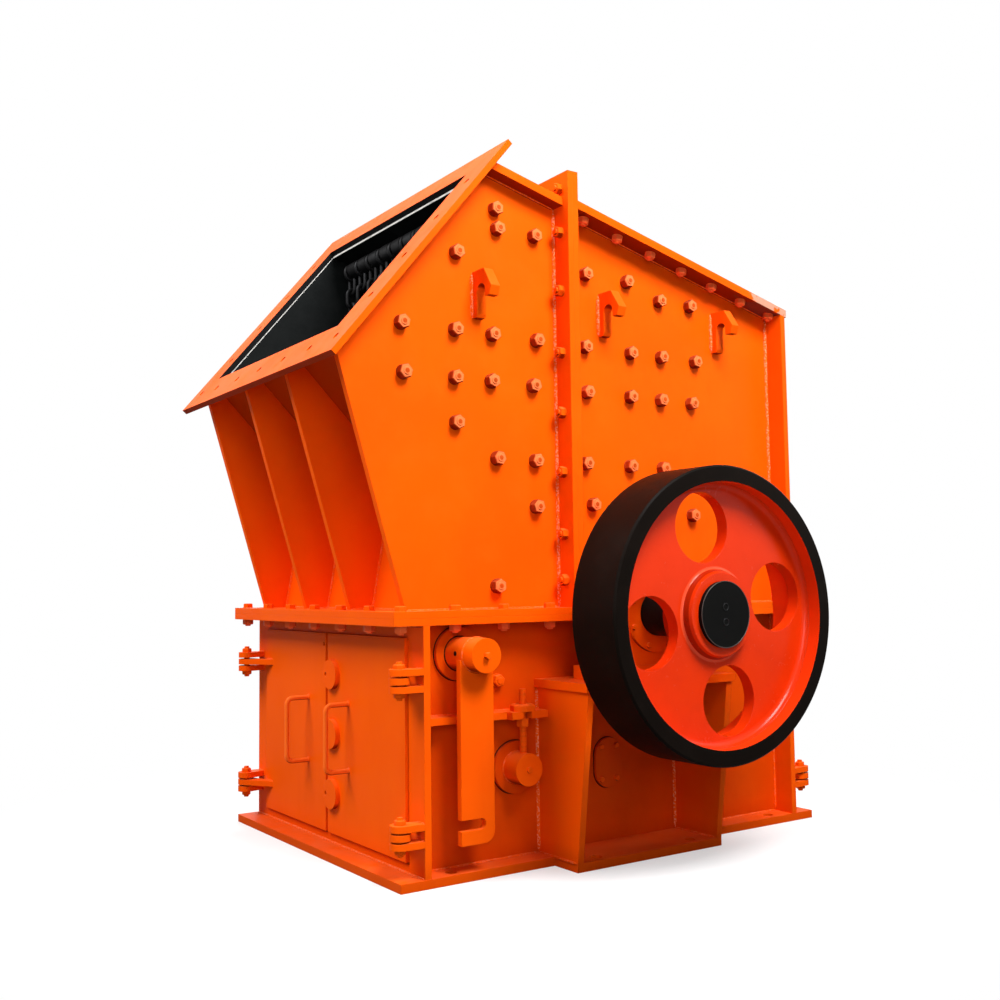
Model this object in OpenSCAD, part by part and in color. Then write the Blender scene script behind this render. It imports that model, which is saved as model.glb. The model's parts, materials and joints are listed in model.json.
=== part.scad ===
// Box-type hammer crusher: split housing, belt wheels, feed mouth and hinged front doors.
// Millimetres, Z up, X from the feed end to the rear, the flywheel side at -Y.

/* [Base] */
// length of the base plate
base_len = 1950; // [1900:10:2100]
// thickness of the base plate
base_t = 30; // [24:1:40]
// base plate past each side wall
base_lip = 93; // [85:1:110]
// length of the pad under each bearing pedestal
pad_len = 680; // [640:10:720]
// how far each pad reaches past the base edge
pad_out = 130; // [120:5:150]
// anchor hole diameter
anchor_d = 42; // [36:1:48]
// anchor holes in from the plate edges
anchor_in = 45; // [42:1:52]
// corner anchors from the base ends
anchor_end = 215; // [190:5:240]
// pad anchors from the pad ends
pad_anchor_end = 117; // [105:1:130]

/* [Housing] */
// outside width across the side walls
body_w = 1218; // [1190:2:1260]
// thickness of walls and end plates
wall_t = 25; // [20:1:30]
// flanges and end plates past each side wall
flange_lip = 91; // [85:1:100]
// thickness of each mid flange
flange_t = 24; // [20:1:30]
// end plate outer face, in from the base edge
end_inset = 91; // [85:1:100]
// how far the mid flange passes the base edge
flange_over = 19; // [10:1:25]
// shaft centre and parting plane above the floor
shaft_z = 872; // [860:2:890]
// shaft centre ahead of the middle of the base
shaft_ahead = 22; // [10:2:40]
// inspection cover ahead of the shaft
cover_ahead = 22; // [16:1:30]
// height of the inspection cover's middle
cover_z = 315; // [300:2:330]
// width of the inspection cover
cover_w = 124; // [112:2:136]
// straight length of the inspection cover
cover_len = 60; // [50:2:72]
// thickness of the inspection cover
cover_t = 12; // [8:1:16]

/* [Doors] */
// door panel thickness
door_t = 25; // [20:1:28]
// how far the door stands proud of the end plate
door_proud = 11; // [8:1:14]
// gap between the two doors
door_split = 18; // [18:1:22]
// middle of that gap from the middle plane
door_meet = 10; // [8:1:12]
// outer edge of a door in from the end plate's edge
door_side = 108; // [100:2:116]
// lower edge of the doors above the base plate
door_foot = 36; // [30:2:44]
// upper edge of the doors below the flange
door_head = 48; // [40:2:60]
// gap round a door in its opening
door_gap = 6; // [6:1:10]
// diameter of the sight hole in the left door
sight_d = 16; // [12:1:20]
// sight hole below the flange
sight_drop = 85; // [75:1:95]
// sight hole in from the left door's inner edge
sight_in = 14; // [12:1:20]
// hinge pin ahead of the end plate face
hinge_x = 71; // [66:1:80]
// hinge pin in from the end plate's edge
hinge_in = 38; // [34:1:42]
// hinge pin diameter
pin_d = 24; // [20:1:28]
// hinge leaf thickness
leaf_t = 22; // [18:1:24]
// gap between hinge leaves
leaf_gap = 6; // [4:1:8]
// metal round the hinge pin
leaf_rim = 22; // [18:1:24]
// hinge pin past the outer leaves
pin_over = 14; // [10:1:18]
// lower hinge above the door's lower edge
hinge_foot = 65; // [55:1:80]
// upper hinge below the door's upper edge
hinge_head = 169; // [155:1:185]
// width of the door's hinge arm at the door
arm_w = 70; // [60:2:80]
// handle bar diameter
handle_d = 18; // [16:1:20]
// handle height
handle_h = 258; // [240:2:270]
// handle standing off the door
handle_out = 100; // [90:2:110]
// handle from the middle plane
handle_mid = 172; // [160:2:190]
// handle bend radius
handle_bend = 24; // [18:1:30]
// radius of the latch discs
disc_r = 55; // [50:1:56]
// thickness of the latch discs
disc_t = 18; // [14:1:20]
// pivot hole in the latch discs
disc_hole_d = 16; // [12:1:18]
// pivot hole from the middle of a disc
disc_hole_in = 30; // [24:1:34]
// upper and lower latch discs from the middle of the door
disc_step = 220; // [210:2:230]
// middle of the latch discs in from the right door's edge
disc_in = 48; // [48:1:56]

/* [Feed mouth] */
// lower edge of the feed flange, X from the base edge
feed_x = -249; // [-270:1:-230]
// lower edge of the feed flange, height
feed_z = 1729; // [1710:1:1745]
// angle of the feed flange from the floor
feed_ang = 50.3; // [49:0.1:51.5]
// feed flange past the roof, up its slope
feed_up = 77; // [70:1:90]
// feed flange past each side wall
feed_lip = 107; // [95:1:115]
// thickness of the feed flange
feed_t = 22; // [18:1:28]
// lower edge of the opening, up the slope
mouth_lo = 156; // [145:1:165]
// upper edge of the opening below the roof plate
mouth_step = 18; // [10:1:24]
// side edge of the opening inside the wall
mouth_side = 24; // [18:1:28]
// bolt hole diameter in the feed flange
feed_hole_d = 26; // [22:1:30]
// side holes in from the flange edge
feed_hole_in = 78; // [70:1:84]
// first side hole, up the slope
feed_hole_u = 86; // [80:1:95]
// spacing of the side holes
feed_pitch_u = 200; // [180:5:220]
// spacing of the lower holes
feed_pitch_y = 222; // [200:2:240]
// liner plate thickness
liner_t = 36; // [28:1:40]
// joint of the roof liner from the middle
roof_joint_y = 70; // [40:2:90]
// gap at the joint of the roof liner
roof_joint = 4; // [2:1:6]

/* [Chain curtain] */
// chain rod ahead of the split
chain_ahead = 306; // [290:2:320]
// chain rod below the roof plate
chain_drop = 80; // [76:1:90]
// chain rod diameter
chain_rod_d = 32; // [26:1:34]
// spacing of the chains
chain_pitch = 100; // [96:1:110]
// spacer sleeve diameter
sleeve_d = 72; // [60:1:76]
// wire diameter of the links
wire_d = 18; // [14:1:20]
// inside width of a link
link_w = 30; // [26:1:32]
// straight length of a link
link_len = 32; // [28:1:40]
// inside diameter of the ring on the rod
ring_d = 48; // [44:1:52]
// free play where links meet
link_play = 0.3; // [0.2:0.1:0.5]
// links in a chain
link_count = 5; // [3:1:6]

/* [Upper housing] */
// ribs' front edge at the flange, X from the base edge
rib_foot = 75; // [65:1:90]
// ribs' front edge at the feed flange, up its slope
rib_u = 75; // [60:1:90]
// middle ribs from the middle plane
rib_y = 190; // [170:2:210]
// front wall at the flange, X from the base edge
front_foot = 165; // [155:1:180]
// lean of the front wall, top behind foot
front_lean = 91; // [80:1:100]
// height of the chute's lower lip
lip_z = 1400; // [1380:5:1420]
// chute's lower lip behind the front wall
lip_back = 10; // [6:1:16]
// split between front and rear sections ahead of the shaft
split_ahead = 207; // [200:1:215]
// height of the split flange above the roof
split_up = 102; // [90:2:115]
// split flange opening below the roof plate
split_in = 10; // [6:1:16]
// roof height over the split
roof_z = 2412; // [2400:2:2425]
// roof slope
roof_ang = 13.66; // [13:0.1:14.3]
// roof plate thickness
roof_t = 30; // [24:1:36]
// front roof past each side wall
roof_lip = 61; // [50:1:75]
// rear wall outer face behind the lower end plate
rear_step = 22; // [18:1:26]
// rear roof past the rear wall
rear_over = 10; // [6:1:16]
// hairline seat under sloping plates
seat = 0.1; // [0.05:0.05:0.3]

/* [Lifting lugs] */
// top of the lugs below the roof at the split
lug_drop = 320; // [310:2:340]
// height of a lug
lug_h = 167; // [150:1:180]
// reach of a lug from the wall
lug_out = 122; // [110:1:135]
// reach of a lug under its shoulder
lug_nose = 110; // [104:1:116]
// width of a lug along its top
lug_top_w = 76; // [70:1:84]
// width of a lug along its foot
lug_foot_w = 26; // [22:1:28]
// height of the lug's slanted shoulder
lug_shoulder = 70; // [62:1:78]
// height of the lug's hooked head
lug_head = 102; // [98:1:110]
// thickness of a lug
lug_t = 38; // [34:1:42]
// width of the hook's throat
throat_w = 52; // [48:1:54]
// middle of the throat from the wall
throat_out = 58; // [57:1:62]
// centre of the throat's round end below the top of the lug
throat_drop = 78; // [74:1:82]
// front lug ahead of the split
lug_ahead = 392; // [380:2:400]
// middle lug behind the split
lug_behind = 186; // [180:2:200]
// rear lug ahead of the rear wall
lug_rear = 324; // [310:2:340]

/* [Drive] */
// wheel diameter
wheel_d = 1000; // [960:5:1010]
// wheel rim width
rim_w = 217; // [200:1:225]
// radial thickness of the rim
rim_t = 56; // [48:1:62]
// chamfer of the rim's edges
rim_chamfer = 6; // [4:1:10]
// wheel outer face past the flange edge
wheel_out = 541; // [525:1:560]
// web face behind the rim face
web_in = 69; // [60:1:76]
// web thickness
web_t = 46; // [36:1:56]
// land between a web hole and the hub or rim
web_bridge = 27; // [24:1:36]
// turn of the web holes at rest
web_turn = 10.5; // [0:0.5:45]
// fillet where the web meets the rim
web_fillet = 22; // [14:1:26]
// hub diameter
hub_d = 300; // [280:2:320]
// hub face behind the rim face
hub_set = 36; // [30:1:42]
// hub behind the web
hub_back = 60; // [50:1:70]
// fillet and edge break of the hub
hub_fillet = 10; // [6:1:14]
// clearance of the hub bore round the shaft
hub_fit = 0.3; // [0.2:0.1:0.4]
// shaft cap diameter
cap_d = 222; // [210:2:236]
// shaft cap thickness
cap_t = 16; // [12:1:20]
// number of belt grooves in the far rim
groove_n = 6; // [4:1:8]
// depth of a belt groove
groove_depth = 22; // [18:1:26]
// land at the edges of the grooved rim
groove_land = 5; // [3:1:8]
// shaft diameter
shaft_d = 160; // [150:2:170]
// radial running clearance
run_fit = 0.05; // [0.02:0.01:0.09]
// shaft opening in the walls, radial clearance
neck_gap = 25; // [18:1:32]
// rotor disc diameter
rotor_d = 660; // [640:5:690]
// rotor disc thickness
rotor_t = 40; // [34:1:46]
// outer rotor disc from the inside of the wall
rotor_side = 84; // [76:1:96]
// hammer circle diameter
swing_d = 1040; // [1000:5:1060]
// hammer pins in from the disc edge
hammer_in = 70; // [60:1:80]
// hammer pin diameter
hammer_pin_d = 64; // [54:2:70]
// hammer head height
hammer_h = 150; // [130:2:160]
// side gap of a hammer between the discs
hammer_gap = 40; // [30:1:48]
// edge break of the hammer heads
hammer_chamfer = 20; // [10:1:26]

/* [Bearings] */
// bearing centre above its shelf
bearing_h = 230; // [220:2:240]
// shelf thickness
shelf_t = 30; // [24:1:36]
// shelf past the flange edge
shelf_out = 214; // [200:2:230]
// shelf past the pedestal plates
shelf_over = 12; // [6:1:18]
// pedestal plates in from the shelf edge
ped_in = 8; // [4:1:14]
// bearing foot length
foot_len = 500; // [470:5:530]
// bearing foot thickness
foot_t = 48; // [40:1:56]
// bearing inner face past the flange edge
bearing_gap = 10; // [6:1:16]
// bearing foot width
foot_w = 166; // [150:2:180]
// bearing housing radius
block_r = 190; // [180:1:200]
// bearing housing narrower than its foot, each side
block_in = 6; // [4:1:10]
// cap ears past the housing
ear_out = 46; // [40:1:54]
// cap ear thickness
ear_t = 34; // [28:1:40]
// parting gap between the cap ears
ear_gap = 4; // [2:1:6]
// cover radius
seal_r = 140; // [130:1:150]
// covers past the housing
seal_t = 8; // [6:1:12]

/* [Side gear] */
// cross shaft behind the end plate face
cross_back = 184; // [175:1:195]
// cross shaft below the flange
cross_drop = 101; // [100:1:108]
// cross shaft diameter
cross_d = 116; // [108:1:120]
// cross shaft past the lever
cross_over = 60; // [50:1:70]
// collar radius on the wall
collar_r = 92; // [86:1:96]
// collar thickness
collar_t = 16; // [12:1:20]
// lever width
lever_w = 131; // [120:1:140]
// lever's upper edge below the middle of the cross shaft
lever_top = 15; // [10:1:20]
// lever lower end above the base plate
lever_foot = 96; // [86:1:110]
// lever plate thickness
lever_t = 24; // [20:1:30]
// clearance of the lever past the end plate edge
lever_gap = 12; // [10:1:16]
// lever corner radius
lever_corner = 40; // [34:1:46]
// lever slot width
slot_w = 36; // [30:1:40]
// lever slot above the lever's foot
slot_up = 65; // [60:1:70]
// lever slot end past the lever's middle
slot_in = 12; // [8:1:16]
// adjuster boss ahead of the bearing pedestal
adj_ahead = 105; // [100:1:115]
// adjuster boss below the bracket
adj_drop = 200; // [190:1:210]
// adjuster boss diameter
adj_d = 112; // [104:1:120]
// adjuster boss past the flange edge
adj_over = 4; // [0:1:5]
// adjuster rod diameter
rod_d = 24; // [20:1:28]
// adjuster rod from the wall
rod_out = 59; // [54:1:64]
// adjuster rod above the bracket
rod_up = 76; // [60:1:90]
// bracket top below the cross shaft
bracket_drop = 207; // [200:1:215]
// bracket thickness
bracket_t = 25; // [20:1:30]
// bracket width beside the lever
bracket_w = 58; // [50:1:64]
// bracket head ahead of and behind the rod
bracket_head = 66; // [60:1:72]
// bracket head further behind the rod
bracket_tail = 20; // [14:1:22]
// clearance of the rod in its slot
bracket_slot = 4; // [3:1:6]
// slot's inner end past the rod's middle
bracket_deep = 15; // [14:1:18]

/* [Hidden] */
$fn = 96;
ORANGE = [1, 0.4, 0.03];
RED = [0.9, 0.2, 0.04];
BLACK = [0.05, 0.05, 0.05];
STEEL = [0.32, 0.32, 0.33];
// overcut that carries a cut past a face
cut = 1;
wall = body_w / 2;
inner = wall - wall_t;
clear = inner - liner_t;
half = wall + flange_lip;
base_half = wall + base_lip;
pad_half = base_half + pad_out;
feed_half = wall + feed_lip;
mouth_half = inner - mouth_side;
end0 = end_inset;
end1 = base_len - end_inset;
shaft_x = base_len / 2 - shaft_ahead;
split_x = shaft_x - split_ahead;
split0 = split_x - flange_t;
split1 = split_x + flange_t;
low_z = shaft_z - flange_t;
up_z = shaft_z + flange_t;
fc = cos(feed_ang);
fs = sin(feed_ang);
rk = tan(roof_ang);
roof_drop = roof_t / cos(roof_ang);
liner_drop = liner_t / cos(roof_ang);
rear0 = end1 - wall_t + rear_step;
rear1 = end1 + rear_step;
neck_r = shaft_d / 2 + neck_gap;
x_min = feed_x;
x_max = base_len + flange_over;
x_mid = (x_min + x_max) / 2;
lip_x = front_foot + front_lean + wall_t + lip_back;

// point on the seat behind the feed flange
function under(u) = [feed_x + u * fc + (feed_t + seat) * fs, feed_z + u * fs - (feed_t + seat) * fc];
// roof top height
function roof_top(x) = roof_z - (x - split_x) * rk;
// seat under the roof plate
function roof_low(x) = roof_top(x) - roof_drop - seat;
// place up the feed slope where a plane with the roof's pitch meets the flange
function roof_u(drop) = (roof_top(under(0)[0]) - drop - under(0)[1]) / (fs + fc * rk);
// crossing of two lines given by points and directions
function meet(p, d, q, e) =
  p + d * (((q[0] - p[0]) * e[1] - (q[1] - p[1]) * e[0]) / (d[0] * e[1] - d[1] * e[0]));
// points of a round corner
function arc(c, r, a0, a1) =
  [for (k = [0:5]) c + r * [cos(a0 + (a1 - a0) * k / 5), sin(a0 + (a1 - a0) * k / 5)]];

feed_len = roof_u(0) + feed_up;
mouth_hi = roof_u(roof_drop) - mouth_step;
roof_in = under(roof_u(roof_drop + seat));
roof_out = under(roof_u(0));
mouth_p = under(mouth_lo);
lip_p = [lip_x, lip_z];
floor_d = (lip_p - mouth_p) / norm(lip_p - mouth_p);
floor_n = [floor_d[1], -floor_d[0]];
floor_q = mouth_p + floor_n * wall_t;
liner_q = mouth_p - floor_n * liner_t;
feed_d = [fc, fs];
lean_d = [front_lean, lip_z - up_z];
floor_at_flange = meet(floor_q, floor_d, under(0), feed_d);
liner_at_flange = meet(liner_q, floor_d, under(0), feed_d);
floor_at_front = meet(floor_q + floor_n * seat, floor_d, [front_foot, up_z], lean_d);
floor_at_back = meet(floor_q + floor_n * seat, floor_d, [front_foot + wall_t, up_z], lean_d);
floor_at_rib = meet(floor_q + floor_n * seat, floor_d, under(0), feed_d);

// everything is drawn from the base front edge and moved to the middle of the frame
module at() { translate([-x_mid, 0, 0]) children(); }
module far_side() { mirror([0, 1, 0]) children(); }
module both_sides() { children(); far_side() children(); }
module rear_end() { translate([base_len, 0, 0]) mirror([1, 0, 0]) children(); }
module box(a, b) { translate(a) cube(b - a); }
module plate_xz(pts, y0, y1) { translate([0, y1, 0]) rotate([90, 0, 0]) linear_extrude(y1 - y0) polygon(pts); }
module plate_yz(pts, x0, x1) { translate([x0, 0, 0]) rotate([90, 0, 90]) linear_extrude(x1 - x0) polygon(pts); }
module plate_xy(pts, z0, z1) { translate([0, 0, z0]) linear_extrude(z1 - z0) polygon(pts); }
module rod_y(x, z, r, y0, y1) { translate([x, y1, z]) rotate([90, 0, 0]) cylinder(h = y1 - y0, r = r); }
module rod_z(x, y, r, z0, z1) { translate([x, y, z0]) cylinder(h = z1 - z0, r = r); }
module rod_x(y, z, r, x0, x1) { translate([x0, y, z]) rotate([0, 90, 0]) cylinder(h = x1 - x0, r = r); }
module feed_frame() { translate([feed_x, 0, feed_z]) rotate([0, -feed_ang, 0]) children(); }
module on_shaft() { translate([shaft_x, 0, shaft_z]) rotate([90, 0, 0]) children(); }

module base_frame() color(ORANGE) at() difference() {
  union() {
    box([0, -base_half, 0], [base_len, base_half, base_t]);
    box([shaft_x - pad_len / 2, -pad_half, 0], [shaft_x + pad_len / 2, pad_half, base_t]);
  }
  box([end0 + wall_t, -inner, -cut], [end1 - wall_t, inner, base_t + cut]);
  both_sides() {
    for (x = [anchor_end, base_len - anchor_end])
      rod_z(x, -base_half + anchor_in, anchor_d / 2, -cut, base_t + cut);
    for (s = [-1, 1])
      rod_z(shaft_x + s * (pad_len / 2 - pad_anchor_end), -pad_half + anchor_in,
        anchor_d / 2, -cut, base_t + cut);
  }
}

cross_x = end0 + cross_back;
cross_z = low_z - cross_drop;
bracket_z = cross_z - bracket_drop;
adj_x = shaft_x - pad_len / 2 - adj_ahead;
adj_z = bracket_z - adj_drop;
cover_x = shaft_x - cover_ahead;
module lower_side() difference() {
  union() {
    box([end0 + wall_t, -wall, base_t], [end1 - wall_t, -inner, low_z]);
    rod_y(cross_x, cross_z, collar_r, -wall - collar_t, -wall);
    rod_y(adj_x, adj_z, collar_r, -wall - collar_t, -wall);
    for (s = [-1, 1]) rod_y(cover_x, cover_z + s * cover_len / 2, cover_w / 2, -wall - cover_t, -wall);
    box([cover_x - cover_w / 2, -wall - cover_t, cover_z - cover_len / 2],
      [cover_x + cover_w / 2, -wall, cover_z + cover_len / 2]);
  }
  rod_y(cross_x, cross_z, cross_d / 2 + run_fit, -wall - collar_t - cut, -inner + cut);
  rod_y(shaft_x, shaft_z, neck_r, -wall - cut, -inner + cut);
}
module side_wall_near() color(ORANGE) at() lower_side();
module side_wall_far() color(ORANGE) at() far_side() lower_side();

door_z0 = base_t + door_foot;
door_z1 = low_z - door_head;
door_mid = (door_z0 + door_z1) / 2;
door_edge = half - door_side;
module doorway() box([end0 - cut, -door_edge - door_gap, door_z0 - door_gap],
  [end0 + wall_t + cut, door_edge + door_gap, door_z1 + door_gap]);
module end_plate() difference() {
  box([end0, -half, base_t], [end0 + wall_t, half, low_z]);
  doorway();
}
module front_end_plate() color(ORANGE) at() end_plate();
module rear_end_plate() color(ORANGE) at() rear_end() end_plate();

// half of a mid flange: outer ends x0 and x1, opening from in0 to in1
module flange_ring(x0, x1, in0, in1, z0, z1) {
  both_sides() difference() {
    box([x0, -half, z0], [x1, -inner, z1]);
    rod_y(shaft_x, shaft_z, neck_r, -half - cut, half + cut);
  }
  if (in0 > x0) box([x0, -inner + seat, z0], [in0, inner - seat, z1]);
  if (in1 < x1) box([in1, -inner + seat, z0], [x1, inner - seat, z1]);
}
module lower_flange_front() color(ORANGE) at()
  flange_ring(-flange_over, shaft_x, end0 + wall_t, shaft_x + cut, low_z, shaft_z);
module lower_flange_rear() color(ORANGE) at()
  flange_ring(shaft_x, base_len + flange_over, shaft_x - cut, end1 - wall_t, low_z, shaft_z);
module upper_flange_front() color(ORANGE) at()
  flange_ring(-flange_over, shaft_x, front_foot + wall_t, shaft_x + cut, shaft_z, up_z);
module upper_flange_rear() color(ORANGE) at()
  flange_ring(shaft_x, base_len + flange_over, shaft_x - cut, rear0, shaft_z, up_z);

shelf_z = shaft_z - bearing_h;
shelf_half = half + shelf_out;
ped_x = pad_len / 2;
module pedestal_plate(x0) plate_yz([[-wall, base_t], [-pad_half, base_t],
  [-shelf_half + ped_in, shelf_z - shelf_t], [-wall, shelf_z - shelf_t]], x0, x0 + wall_t);
module pedestal() {
  pedestal_plate(shaft_x - ped_x);
  pedestal_plate(shaft_x + ped_x - wall_t);
  box([shaft_x - ped_x - shelf_over, -shelf_half, shelf_z - shelf_t],
    [shaft_x + ped_x + shelf_over, -wall, shelf_z]);
}
module pedestal_near() color(ORANGE) at() pedestal();
module pedestal_far() color(ORANGE) at() far_side() pedestal();

bearing0 = half + bearing_gap;
bearing1 = bearing0 + foot_w;
ear_x = block_r + ear_out;
module bearing() difference() {
  union() {
    box([shaft_x - foot_len / 2, -bearing1, shelf_z], [shaft_x + foot_len / 2, -bearing0, shelf_z + foot_t]);
    box([shaft_x - block_r, -bearing1 + block_in, shelf_z], [shaft_x + block_r, -bearing0 - block_in, shaft_z]);
    box([shaft_x - ear_x, -bearing1 + 2 * block_in, shaft_z - ear_t],
      [shaft_x + ear_x, -bearing0 - 2 * block_in, shaft_z + ear_t]);
    rod_y(shaft_x, shaft_z, block_r, -bearing1 + block_in, -bearing0 - block_in);
    rod_y(shaft_x, shaft_z, seal_r, -bearing1 - seal_t, -bearing0 + seal_t);
  }
  rod_y(shaft_x, shaft_z, shaft_d / 2 + run_fit, -bearing1 - seal_t - cut, -bearing0 + seal_t + cut);
  for (s = [-1, 1]) box([shaft_x + s * (block_r + ear_out / 2) - ear_out / 2, -bearing1, shaft_z - ear_gap / 2],
    [shaft_x + s * (block_r + ear_out / 2) + ear_out / 2 + cut, -bearing0, shaft_z + ear_gap / 2]);
}
module bearing_near() color(ORANGE) at() bearing();
module bearing_far() color(ORANGE) at() far_side() bearing();

module upper_side() plate_xz([[rib_foot, up_z], [split0, up_z], [split0, roof_low(split0)],
  roof_in, under(rib_u)], -wall, -inner);
module upper_side_near() color(ORANGE) at() upper_side();
module upper_side_far() color(ORANGE) at() far_side() upper_side();

module rib() plate_xz([[rib_foot, up_z], [front_foot - seat, up_z], floor_at_front - [seat, 0],
  floor_at_rib, under(rib_u)], -rib_y - wall_t / 2, -rib_y + wall_t / 2);
module rib_near() color(ORANGE) at() rib();
module rib_far() color(ORANGE) at() far_side() rib();

module front_wall() color(ORANGE) at()
  plate_xz([[front_foot, up_z], [front_foot + wall_t, up_z], floor_at_back, floor_at_front], -inner, inner);
module chute_floor() color(ORANGE) at()
  plate_xz([mouth_p, lip_p, lip_p + floor_n * wall_t, floor_at_flange], -inner, inner);

feed_holes = floor((feed_len - feed_hole_u) / feed_pitch_u);
row_holes = floor((feed_half - feed_hole_in) / feed_pitch_y);
module feed_hole(u, y) rod_z(u, y, feed_hole_d / 2, -feed_t - cut, cut);
module feed_flange() color(ORANGE) at() feed_frame() difference() {
  box([0, -feed_half, -feed_t], [feed_len, feed_half, 0]);
  box([mouth_lo, -mouth_half, -feed_t - cut], [mouth_hi, mouth_half, cut]);
  both_sides() for (i = [0:feed_holes - 1])
    feed_hole(feed_hole_u + i * feed_pitch_u, -feed_half + feed_hole_in);
  for (i = [-row_holes:row_holes]) feed_hole(mouth_lo / 2, i * feed_pitch_y);
}

module front_roof() color(ORANGE) at() plate_xz([under(roof_u(roof_drop)),
  [split0, roof_top(split0) - roof_drop], [split0, roof_top(split0)], roof_out],
  -wall - roof_lip, wall + roof_lip);

module split_flange(x0, x1) difference() {
  box([x0, -half, up_z], [x1, half, roof_z + split_up]);
  box([x0 - cut, -inner, up_z - cut], [x1 + cut, inner, roof_low(x1) - split_in]);
}
module split_flange_front() color(ORANGE) at() split_flange(split0, split_x);
module split_flange_rear() color(ORANGE) at() split_flange(split_x, split1);

module rear_side() difference() {
  plate_xz([[split1, up_z], [rear0, up_z], [rear0, roof_low(rear0)], [split1, roof_low(split1)]],
    -wall, -inner);
  rod_y(shaft_x, shaft_z, neck_r, -wall - cut, -inner + cut);
}
module rear_side_near() color(ORANGE) at() rear_side();
module rear_side_far() color(ORANGE) at() far_side() rear_side();
module rear_roof() color(ORANGE) at() plate_xz([[split1, roof_top(split1) - roof_drop],
  [rear1 + rear_over, roof_top(rear1 + rear_over) - roof_drop],
  [rear1 + rear_over, roof_top(rear1 + rear_over)], [split1, roof_top(split1)]], -half, half);
module rear_wall() color(ORANGE) at()
  plate_xz([[rear0, up_z], [rear1, up_z], [rear1, roof_low(rear1)], [rear0, roof_low(rear0)]], -half, half);

lug_z = roof_z - lug_drop;
throat_y = -wall - throat_out;
throat_z = lug_z - throat_drop;
module lug(x) difference() {
  plate_yz([[-wall, lug_z - lug_h], [-wall, lug_z], [-wall - lug_top_w, lug_z],
    [-wall - lug_out, lug_z - lug_shoulder], [-wall - lug_nose, lug_z - lug_head],
    [throat_y, lug_z - lug_head], [-wall - lug_foot_w, lug_z - lug_h]], x, x + lug_t);
  rod_x(throat_y, throat_z, throat_w / 2, x - cut, x + lug_t + cut);
  box([x - cut, throat_y - throat_w / 2, lug_z - lug_h - cut],
    [x + lug_t + cut, throat_y + throat_w / 2, throat_z]);
}
module lugs() {
  lug(split_x - lug_ahead);
  lug(split_x + lug_behind);
  lug(rear0 - lug_rear);
}
module lifting_lugs_near() color(ORANGE) at() lugs();
module lifting_lugs_far() color(ORANGE) at() far_side() lugs();

module side_liner() plate_xz([mouth_p - floor_n * seat, lip_p - floor_n * seat, [split0, lip_z],
  [split0, roof_low(split0)], roof_in], -inner, -clear);
module liner_near() color(BLACK) at() side_liner();
module liner_far() color(BLACK) at() far_side() side_liner();
module roof_sheet(y0, y1) plate_xz([under(roof_u(roof_drop + liner_drop)),
  [split0, roof_low(split0) - liner_drop], [split0, roof_low(split0)], roof_in], y0, y1);
module roof_liner() color(BLACK) at() {
  roof_sheet(-clear, roof_joint_y - roof_joint / 2);
  roof_sheet(roof_joint_y + roof_joint / 2, clear);
}
module chute_liner() color(BLACK) at() plate_xz([mouth_p - floor_n * seat, lip_p - floor_n * seat,
  lip_p - floor_n * liner_t, liner_at_flange], -clear, clear);

chain_x = split_x - chain_ahead;
chain_z = roof_top(chain_x) - roof_drop - chain_drop;
wire_r = wire_d / 2;
bow_r = (link_w + wire_d) / 2;
ring_r = (ring_d + wire_d) / 2;
ring_z = chain_z + chain_rod_d / 2 + link_play - ring_d / 2;
link_step = link_len + 2 * bow_r - wire_d - link_play;
first_z = ring_z - ring_r + wire_d + link_play - link_len / 2 - bow_r;
chain_side = floor((clear - bow_r - wire_d) / chain_pitch);
sleeve_half = chain_pitch / 2 - wire_d + link_play;
// one link in the XZ plane: two bows and two straight shanks
module link() {
  for (s = [-1, 1]) {
    translate([0, 0, s * link_len / 2]) rotate([90, 0, 0]) rotate([0, 0, s > 0 ? 0 : 180])
      rotate_extrude(angle = 180) translate([bow_r, 0]) circle(r = wire_r, $fn = 24);
    rod_z(s * bow_r, 0, wire_r, -link_len / 2, link_len / 2, $fn = 24);
  }
}
module chain() {
  translate([0, 0, ring_z]) rotate([90, 0, 0])
    rotate_extrude() translate([ring_r, 0]) circle(r = wire_r, $fn = 24);
  for (k = [0:link_count - 1]) translate([0, 0, first_z - k * link_step])
    rotate([0, 0, k % 2 == 0 ? 90 : 0]) link();
}
module chain_rod() {
  rod_y(chain_x, chain_z, chain_rod_d / 2, -clear, clear);
  for (i = [-chain_side:chain_side - 1]) translate([0, (i + 0.5) * chain_pitch, 0])
    rod_y(chain_x, chain_z, sleeve_d / 2, -sleeve_half, sleeve_half);
}
module chain_curtain() color(STEEL) at() {
  chain_rod();
  for (i = [-chain_side:chain_side]) translate([chain_x, i * chain_pitch, 0]) chain();
}

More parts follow.
